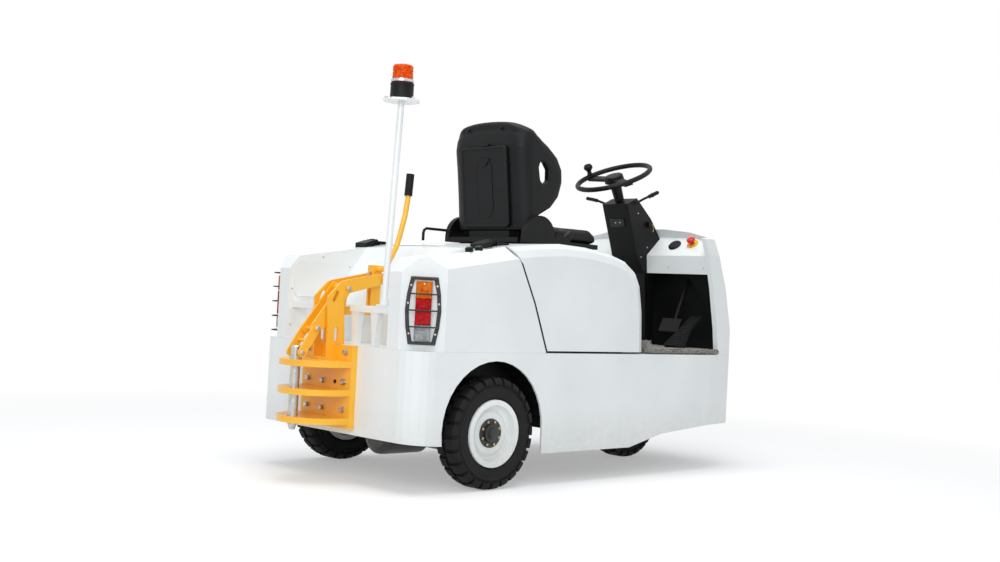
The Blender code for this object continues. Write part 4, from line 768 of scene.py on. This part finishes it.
def bead(name, outline_wide, low_z, high_z, lip):
    """A slot-shaped bead with a sunk floor: a low drum, stretched, whose face is inset twice."""
    piece = add_disc(name, outline_wide, 0.0, 0.0016, 36)
    bpy.ops.mesh.select_mode(type="VERT")
    pick(piece, lambda place, normal: place.x > 0.0005, "verts")
    move(x=high_z - outline_wide)
    pick(piece, lambda place, normal: place.x <= 0.0005, "verts")
    move(x=low_z + outline_wide)
    bpy.ops.mesh.select_mode(type="FACE")
    pick(piece, lambda middle, normal: normal.z > 0.9)
    bpy.ops.mesh.inset(thickness=lip, depth=0.0004)
    bpy.ops.mesh.inset(thickness=lip, depth=-0.0016)
    bpy.ops.object.mode_set(mode="OBJECT")
    piece.matrix_world = Matrix.Translation((-0.0108, 0, 0)) @ Matrix.Rotation(math.radians(-90), 4, "Y")
    clear_selection()
    piece.select_set(True)
    bpy.context.view_layer.objects.active = piece
    bpy.ops.object.transform_apply(location=True, rotation=True, scale=True)
    return piece


channel = bead("lid_channel", 0.048, 0.040, 0.292, 0.0030)
grip = trace("lid_grip", [(-0.0122, -0.041, 0.286), (-0.0122, 0.041, 0.286), (-0.0122, 0.012, 0.252),
                          (-0.0122, -0.012, 0.252), (-0.0122, -0.041, 0.286)])
bpy.ops.object.mode_set(mode="EDIT")
bpy.ops.mesh.select_all(action="SELECT")
bpy.ops.mesh.remove_doubles(threshold=0.0001)
bpy.ops.mesh.edge_face_add()
bpy.ops.mesh.extrude_region_move(TRANSFORM_OT_translate={"value": (-0.0016, 0, 0)})
bpy.ops.mesh.select_mode(type="FACE")
pick(grip, lambda middle, normal: middle.x < -0.0135)
bpy.ops.mesh.inset(thickness=0.0016, depth=-0.0013)
bpy.ops.object.mode_set(mode="OBJECT")
modify(lid, "BEVEL", width=0.0012, segments=1, limit_method="ANGLE", angle_limit=math.radians(35))
joined(lid, channel, grip)
settle(lid, VINYL, "document_lid", LID_PLACE, angle=14)
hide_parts("document_lid")
latch = add_box("lid_latch", (-0.010, -0.030, 0.3355), (0.001, 0.010, 0.3430))
pick(latch, lambda middle, normal: normal.x < -0.9)
bpy.ops.mesh.inset(thickness=0.002, depth=0.0015)
settle(latch, PLASTIC, "hood", LID_PLACE)
print("Lid box:", [round(value, 3) for value in lid_low], [round(value, 3) for value in lid_high])

# %% [markdown]
# ## Cushions
# The seat cushion and the back cushion are foam under a sewn skin, so they are crowned and pull in at
# the corners. A smaller copy of the CAD pad is remeshed and inflated by a short cloth simulation with
# no gravity. How far a point may move is capped, so the pad keeps its place.

# %% Cushions


def cushion(name, node, cap):
    piece = copy_of(name, node)
    low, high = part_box(node)
    middle = (low + high) / 2
    for vert in piece.data.vertices:
        for axis in range(3):
            room = max((high - low)[axis] / 2, 0.001)
            vert.co[axis] = middle[axis] + (vert.co[axis] - middle[axis]) * (room - cap * 0.55) / room
    modify(piece, "REMESH", mode="VOXEL", voxel_size=0.006)
    modify(piece, "SMOOTH", factor=0.5, iterations=4)
    start = [vert.co.copy() for vert in piece.data.vertices]
    cloth = piece.modifiers.new("inflate", "CLOTH")
    cloth.settings.use_pressure = True
    cloth.settings.uniform_pressure_force = 4.0
    cloth.settings.effector_weights.gravity = 0.0
    cloth.point_cache.frame_end = 20
    for number in range(1, 21):
        bpy.context.scene.frame_set(number)
    clear_selection()
    piece.select_set(True)
    bpy.context.view_layer.objects.active = piece
    bpy.ops.object.modifier_apply(modifier=cloth.name)
    bpy.context.scene.frame_set(1)
    for vert, place in zip(piece.data.vertices, start):
        step = vert.co - place
        if step.length > cap:
            vert.co = place + step * (cap / step.length)
        for axis in range(3):
            vert.co[axis] = min(max(vert.co[axis], low[axis]), high[axis])
    modify(piece, "SMOOTH", factor=0.5, iterations=3)
    settle(piece, VINYL, "hood", angle=60, flip=False)
    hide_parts(node)
    return piece


cushion("seat_pad", "seat_cushion", 0.010)
cushion("back_pad", "backrest_cushion", 0.010)
# piping sewn round the top of each pad
low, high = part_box("seat_cushion")
loop = [(low.x + 0.03, -0.150, high.z - 0.001), (high.x - 0.07, -0.150, high.z - 0.003),
        (high.x - 0.07, 0.150, high.z - 0.003), (low.x + 0.03, 0.150, high.z - 0.001),
        (low.x + 0.03, -0.150, high.z - 0.001)]
piping = tube("seat_pad_piping", loop, 0.0028, 3)
settle(piping, VINYL, "hood", angle=60)
print("Seat pads made; simulation skipped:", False)

# %% [markdown]
# ## Belt buckle
# A red-buttoned buckle stands on a short stalk at the right of the cushion. It is a block with
# bevelled sides and a button made by an inset.

# %% Belt buckle
buckle = add_box("belt_buckle", (-0.016, -0.011, 0), (0.016, 0.011, 0.052))
pick(buckle, lambda middle, normal: normal.z > 0.9)
bpy.ops.mesh.inset(thickness=0.004, depth=0.002)
bpy.ops.mesh.inset(thickness=0.002, depth=-0.003)
bpy.ops.object.mode_set(mode="OBJECT")
modify(buckle, "BEVEL", width=0.002, segments=3, limit_method="ANGLE", angle_limit=math.radians(35))
settle(buckle, PLASTIC, "hood", Matrix.Translation((0.108, -0.229, 0.960)) @
       Matrix.Rotation(math.radians(55), 4, "Y"))

# %% [markdown]
# ## Beacon base
# The dome sits on a straight drum of black plastic with a soft lower lip. The drum's section is traced
# and spun.

# %% Beacon base
low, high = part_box("beacon_base")
drum_outline = [(0, 0.0005), (0.0435, 0.0005), (0.0445, 0.0030), (0.0430, 0.0060), (0.0425, 0.050), (0.0435, 0.0530),
                (0.0435, 0.0580), (0.0400, 0.0615), (0, 0.0618)]
drum = trace("beacon_drum", [(beacon_x + r, beacon_y, low.z + h) for r, h in drum_outline])
spin(drum, 64, (beacon_x, beacon_y, low.z), (0, 0, 1))
settle(drum, PLASTIC, "chassis", angle=30)
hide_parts("beacon_base")
BOLT_SPOTS = [(beacon_x + 0.058 * math.cos(turn), beacon_y + 0.058 * math.sin(turn), low.z - 0.0002)
              for turn in (0.6, 2.7, 4.8)]
screws = copies("beacon_screws", SMALL_BOLT, [facing(spot, (0, 0, 1)) for spot in BOLT_SPOTS])
settle(screws, STEEL, "chassis")

# %% [markdown]
# ## Recess panels, knobs and small screws
# Inside the rear recess a pressed panel with rounded corners is screwed to each wall. On the deck two
# rubber stops with green caps stand beside the hinge, with a narrow black slot.

# %% Recess and deck
for side, sign in (("left", 1), ("right", -1)):
    wall = sign * 0.3098
    low_y, high_y = sorted((wall, wall - sign * 0.0022))
    panel = add_box(f"recess_panel_{side}", (-0.853, low_y, 0.672), (-0.640, high_y, 0.812))
    pick(panel, lambda middle, direction: abs(direction.y) > 0.9, "edges")
    bpy.ops.mesh.bevel(offset=0.028, segments=6)
    bpy.ops.mesh.select_mode(type="FACE")
    pick(panel, lambda middle, normal: normal.y * sign < -0.9)
    bpy.ops.mesh.inset(thickness=0.005, depth=-0.0010)
    settle(panel, WHITE, "chassis", angle=25)
    spots = [(-0.720, 0.833), (-0.585, 0.800), (-0.862, 0.701), (-0.862, 0.560)]
    screws = copies(f"recess_screws_{side}", SCREW, [facing((x, wall, z), (0, -sign, 0)) for x, z in spots])
    settle(screws, STEEL, "chassis")

spots = [(-0.606, -0.4235, 0.8722), (-0.555, -0.4205, 0.8785)]
STOP = add_disc("deck_stop", 0.0150, -0.003, 0.0110, 28)
pick(STOP, lambda middle, normal: normal.z > 0.9)
bpy.ops.mesh.inset(thickness=0.0030, depth=0.0016)
bpy.ops.object.mode_set(mode="OBJECT")
CAP = add_disc("deck_cap", 0.0105, 0.0118, 0.0145, 28)
pick(CAP, lambda middle, normal: normal.z > 0.9)
bpy.ops.mesh.inset(thickness=0.0028, depth=0.0009)
bpy.ops.object.mode_set(mode="OBJECT")
lean = (-0.16, 0, 0.99)
settle(copies("deck_stops", STOP, [facing(spot, lean) for spot in spots]), PLASTIC, "chassis")
settle(copies("deck_stop_caps", CAP, [facing(spot, lean) for spot in spots]), GREEN_CAP, "chassis")
drop(STOP)
drop(CAP)
slot_bar = add_box("deck_slot", (-0.019, -0.0035, 0.0), (0.019, 0.0035, 0.0016))
pick(slot_bar, lambda middle, normal: normal.z > 0.9)
bpy.ops.mesh.inset(thickness=0.0012, depth=-0.0010)
settle(slot_bar, BLACK, "chassis", Matrix.Translation((-0.500, -0.4165, 0.8868)) @
       Matrix.Rotation(math.radians(-9.3), 4, "Y"))

# %% [markdown]
# ## Pins of the linkage
# Domed heads of plated pins show at each joint of the yellow linkage. Every head rides on the part
# that it turns in.

# %% Linkage pins
PINS = {"chassis": [(-0.863, 0.7125, 0.0585), (-0.700, 0.7555, 0.0585)],
        "lift_crank": [(-0.986, 0.560, 0.0462)], "draw_link": [(-1.045, 0.471, 0.0402)]}
for body, pins in PINS.items():
    spots = [facing((x, sign * (y - 0.0004), z), (0, sign, 0)) for x, z, y in pins for sign in (-1, 1)]
    settle(copies(f"pin_heads_{body}", PIVOT_HEAD, spots), STEEL, body)
nipple = copies("grease_nipple", SMALL_BOLT, [facing((-0.765, -0.041, 0.769), (-0.2, 0, 0.98))])
settle(nipple, STEEL, "chassis")

# %% [markdown]
# ## Driver's controls
# The dash carries a smoked battery gauge and a red stop button on a yellow ring. The column has a
# sunk panel with two screws, and a key in its switch. The round ones are spun or inset drums.

# %% Dash and column
DASH_OUT = Vector((-0.669, 0, 0.743))
low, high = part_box("battery_gauge")
gauge_middle = (low + high) / 2
window = add_disc("gauge_window", 0.0225, 0.0, 0.0020, 40)
pick(window, lambda middle, normal: normal.z > 0.9)
bpy.ops.mesh.inset(thickness=0.0020, depth=0.0010)
settle(window, GAUGE, "chassis",
       Matrix.Translation(gauge_middle + DASH_OUT * 0.0078) @ facing((0, 0, 0), DASH_OUT), angle=25)

low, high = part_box("emergency_stop")
stop_foot = Vector((0.9038, -0.290, 0.9990))
button_outline = [(0, 0.0340), (0.0110, 0.0335), (0.0165, 0.0310), (0.0188, 0.0270), (0.0188, 0.0215), (0.0170, 0.0190),
                  (0.0100, 0.0175), (0.0100, 0.0046), (0, 0.0046)]
button = trace("stop_button", [(r, 0, h) for r, h in button_outline])
spin(button, 40, (0, 0, 0), (0, 0, 1))
bpy.ops.object.mode_set(mode="OBJECT")
settle(button, STOP_RED, "chassis", facing(stop_foot, DASH_OUT), angle=30)
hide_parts("emergency_stop")
ring_outline = [(0, 0.0006), (0.0278, 0.0006), (0.0278, 0.0022), (0.0262, 0.0036), (0.0110, 0.0044), (0, 0.0044)]
plate = trace("stop_ring", [(r, 0, h) for r, h in ring_outline])
spin(plate, 40, (0, 0, 0), (0, 0, 1))
bpy.ops.object.mode_set(mode="OBJECT")
settle(plate, STOP_YELLOW, "chassis", facing(stop_foot, DASH_OUT), angle=30)

COLUMN_OUT = Vector((-0.937, 0, -0.350))
hatch = add_box("column_hatch", (-0.019, -0.041, 0.0), (0.019, 0.041, 0.0030))
pick(hatch, lambda middle, normal: normal.z > 0.9)
bpy.ops.mesh.inset(thickness=0.0035, depth=0.0008)
bpy.ops.mesh.inset(thickness=0.0020, depth=-0.0032)
hatch_place = facing((0.7158, 0.0035, 1.0840), COLUMN_OUT, 90)
settle(hatch, BLACK, "chassis", hatch_place)
eyes = copies("column_screws", SCREW, [hatch_place @ Matrix.Translation((0, y, 0.0006)) for y in (-0.013, 0.013)])
settle(eyes, STEEL, "chassis")
spots = [(0.7633, 1.1304), (0.8420, 0.9780), (0.8000, 0.9300)]
eyes = copies("column_side_screws", SCREW, [facing((x, side * 0.0758, z), (0, side, 0)) for x, z in spots for side in (-1, 1)])
settle(eyes, STEEL, "chassis")
key = tube("ignition_key", [(0.841, -0.0905, 1.085), (0.841, -0.1020, 1.085), (0.846, -0.1040, 1.070), (0.846, -0.1020, 1.050)],
           0.0016, 3)
settle(key, BRASS, "chassis")
spots = [(0.8462, -0.2023, 0.8890), (0.8462, -0.4000, 0.8890), (0.8462, 0.2023, 0.8890), (0.8462, 0.4000, 0.8890)]
eyes = copies("fascia_screws", SCREW, [facing(spot, (-1, 0, -0.1)) for spot in spots])
settle(eyes, STEEL, "chassis")

# %% [markdown]
# ## Pedal pad and stalk grips
# The treadle has a ribbed rubber pad, and so does the brake pedal, but only the treadle's ribs are made. Each
# rib is one bar, copied along the slope. The stalks end in ribbed grips, made here as plain round bars.

# %% Pedals
slope = math.radians(34.7)
along = Vector((math.cos(slope), 0, math.sin(slope)))
RIB = add_box("pad_rib", (-0.0028, -0.026, 0.0), (0.0028, 0.026, 0.0022))
pick(RIB, lambda middle, normal: normal.z > 0.9)
bpy.ops.mesh.inset(thickness=0.0008, depth=0.0005)
bpy.ops.object.mode_set(mode="OBJECT")
start = Vector((0.7015, -0.341, 0.5395))
tilt = Matrix.Rotation(-slope, 4, "Y")
places = [Matrix.Translation(start + along * (0.020 + 0.0125 * number)) @ tilt for number in range(16)]
settle(copies("accelerator_ribs", RIB, places), GASKET, "chassis")
drop(RIB)

# the stalks' grips, as plain round bars: the paddle at the left, and the barrel with a collar at the right
paddle = tube("left_stalk_grip", [(0.706, 0.128, 1.1880), (0.703, 0.150, 1.1930), (0.6995, 0.187, 1.1992)], 0.0085, 5)
settle(paddle, PLASTIC, "chassis", angle=50)
barrel = tube("right_stalk_grip", [(0.7710, -0.1260, 1.2065), (0.7990, -0.1575, 1.2300)], 0.0090, 5)
settle(barrel, PLASTIC, "chassis", angle=50)
collar = tube("right_stalk_collar", [(0.7800, -0.1362, 1.2140), (0.7840, -0.1407, 1.2174)], 0.0105, 5)
settle(collar, PLASTIC, "chassis", angle=50)

# %% [markdown]
# ## Headlamps
# Each headlamp has a chromed rim round its fluted glass. The rim's section is traced and spun about
# the lamp's own axis.

# %% Headlamps
for side, sign in (("left", 1), ("right", -1)):
    low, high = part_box(f"headlamp_{side}")
    aim = Vector((0.976, 0, 0.217))
    middle = Vector((1.0665, sign * 0.300, 0.690))
    rim_outline = [(0.0540, 0.0030), (0.0560, 0.0062), (0.0590, 0.0050), (0.0600, -0.0010), (0.0570, -0.0010), (0.0540, 0.0030)]
    rim_ring = trace(f"headlamp_rim_{side}", [(r, 0, h) for r, h in rim_outline])
    spin(rim_ring, 56, (0, 0, 0), (0, 0, 1))
    bpy.ops.object.mode_set(mode="OBJECT")
    settle(rim_ring, CHROME, "chassis", facing(middle, aim), angle=30)

# %% [markdown]
# ## Loop mat
# The mat's pile is uneven, so a finely divided copy of the mat is displaced by procedural noise along
# its normals. It stays on the floor and keeps the mat's outline.

# %% Loop mat
pile = copy_of("loop_mat", "floor_mat")
modify(pile, "REMESH", mode="VOXEL", voxel_size=0.0060)
curl = bpy.data.textures.new("loop_curl", "STUCCI")
curl.noise_scale = 0.012
curl.turbulence = 8.0
low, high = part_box("floor_mat")
modify(pile, "DISPLACE", texture=curl, strength=0.007, mid_level=0.75, texture_coords="LOCAL")
for vert in pile.data.vertices:
    for axis in range(3):
        vert.co[axis] = min(max(vert.co[axis], low[axis]), high[axis])
settle(pile, CARPET, "chassis", angle=60, flip=False)
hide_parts("floor_mat")
print("Mat polygons:", len(pile.data.polygons))

# %% [markdown]
# ## Stage, lamps and camera
# The stage is a pale floor that runs to the horizon. For the camera it adds a little white of its own,
# so that it reads as a studio sweep and still keeps the soft shadow. One large lamp hangs overhead,
# one fills from behind the viewer, and the world gives an even glow.

# %% Stage
clear_selection()
bpy.ops.mesh.primitive_plane_add(size=60, location=(0, 0, 0))
floor = bpy.context.active_object
floor.name = "studio_floor"


def seen_directly(tree):
    """1 where a surface is seen by the camera, in a mirror or through glass."""
    path = add_node(tree, "ShaderNodeLightPath")
    first = add_node(tree, "ShaderNodeMath", {0: path.outputs["Is Camera Ray"], 1: path.outputs["Is Glossy Ray"]},
                     operation="ADD")
    return add_node(tree, "ShaderNodeMath", {0: first.outputs["Value"], 1: path.outputs["Is Transmission Ray"]},
                    operation="ADD", use_clamp=True).outputs["Value"]


sweep = bpy.data.materials.new("matt_studio_sweep")
sweep.use_nodes = True
tree = sweep.node_tree
tree.nodes.clear()
matt = add_node(tree, "ShaderNodeBsdfDiffuse", {"Color": linear("#E6E6E6")})
shown = add_node(tree, "ShaderNodeBsdfDiffuse", {"Color": linear("#D8D8D8")})
glow = add_node(tree, "ShaderNodeEmission", {"Color": (1, 1, 1, 1), "Strength": 0.36})
near = add_node(tree, "ShaderNodeAddShader", {0: shown.outputs[0], 1: glow.outputs[0]})
far = add_node(tree, "ShaderNodeEmission", {"Color": (1, 1, 1, 1), "Strength": 1.0})
# The sweep is lit paper near the tug and plain white from 4 m out.
spot = add_node(tree, "ShaderNodeTexCoord").outputs["Object"]
reach = add_node(tree, "ShaderNodeVectorMath", {0: spot}, operation="LENGTH").outputs["Value"]
fade = add_node(tree, "ShaderNodeMapRange", {"Value": reach, "From Min": 1.6, "From Max": 3.6})
lit = add_node(tree, "ShaderNodeMixShader", {0: fade.outputs["Result"], 1: near.outputs[0], 2: far.outputs[0]})
both = add_node(tree, "ShaderNodeMixShader", {0: seen_directly(tree), 1: matt.outputs[0], 2: lit.outputs[0]})
add_node(tree, "ShaderNodeOutputMaterial", {"Surface": both.outputs[0]})
floor.data.materials.append(sweep)

world = bpy.data.worlds.new("studio_world")
bpy.context.scene.world = world
world.use_nodes = True
tree = world.node_tree
tree.nodes.clear()
soft = add_node(tree, "ShaderNodeBackground", {"Color": linear("#F4F8FC"), "Strength": 0.55})
white = add_node(tree, "ShaderNodeBackground", {"Color": (1, 1, 1, 1), "Strength": 1.0})
both = add_node(tree, "ShaderNodeMixShader", {0: seen_directly(tree), 1: soft.outputs[0], 2: white.outputs[0]})
add_node(tree, "ShaderNodeOutputWorld", {"Surface": both.outputs[0]})


def add_lamp(name, place, target, size, power):
    clear_selection()
    bpy.ops.object.light_add(type="AREA", location=place)
    lamp = bpy.context.active_object
    lamp.name = name
    lamp.data.size = size
    lamp.data.energy = power
    lamp.rotation_euler = (Vector(target) - Vector(place)).to_track_quat("-Z", "Y").to_euler()
    return lamp


add_lamp("overhead_softbox", (-0.6, -0.4, 4.6), (0, 0, 0.4), 3.2, 108)
add_lamp("side_fill", (-4.6, -3.6, 2.6), (0, 0, 0.6), 2.6, 104)

# %% [markdown]
# ## Camera
# The camera stands low behind the right rear corner, at the viewing angle of the studied vehicle. Its
# axes are built from yaw, pitch and roll, so that each can be read off and changed on its own.

# %% Camera
yaw, pitch, roll = [math.radians(value) for value in (44.2416, 0.8008, 3.0313)]
ahead = Vector((math.cos(pitch) * math.sin(yaw), math.cos(pitch) * math.cos(yaw), math.sin(pitch)))
level = Vector((math.cos(yaw), -math.sin(yaw), 0))
above = level.cross(ahead)
right = level * math.cos(roll) + above * math.sin(roll)
up = right.cross(ahead)
clear_selection()
bpy.ops.object.camera_add(location=(-3.684, -3.753, 0.705))
camera = bpy.context.active_object
camera.name = "studio_camera"
camera.rotation_euler = Matrix((right, up, -ahead)).transposed().to_euler()
camera.data.lens = 44.77
camera.data.sensor_width = 36.0
bpy.context.scene.camera = camera
bpy.context.scene.view_settings.view_transform = "Standard"
for model in (BOLT, SMALL_BOLT, RIVET, SCREW, PIVOT_HEAD):
    drop(model)
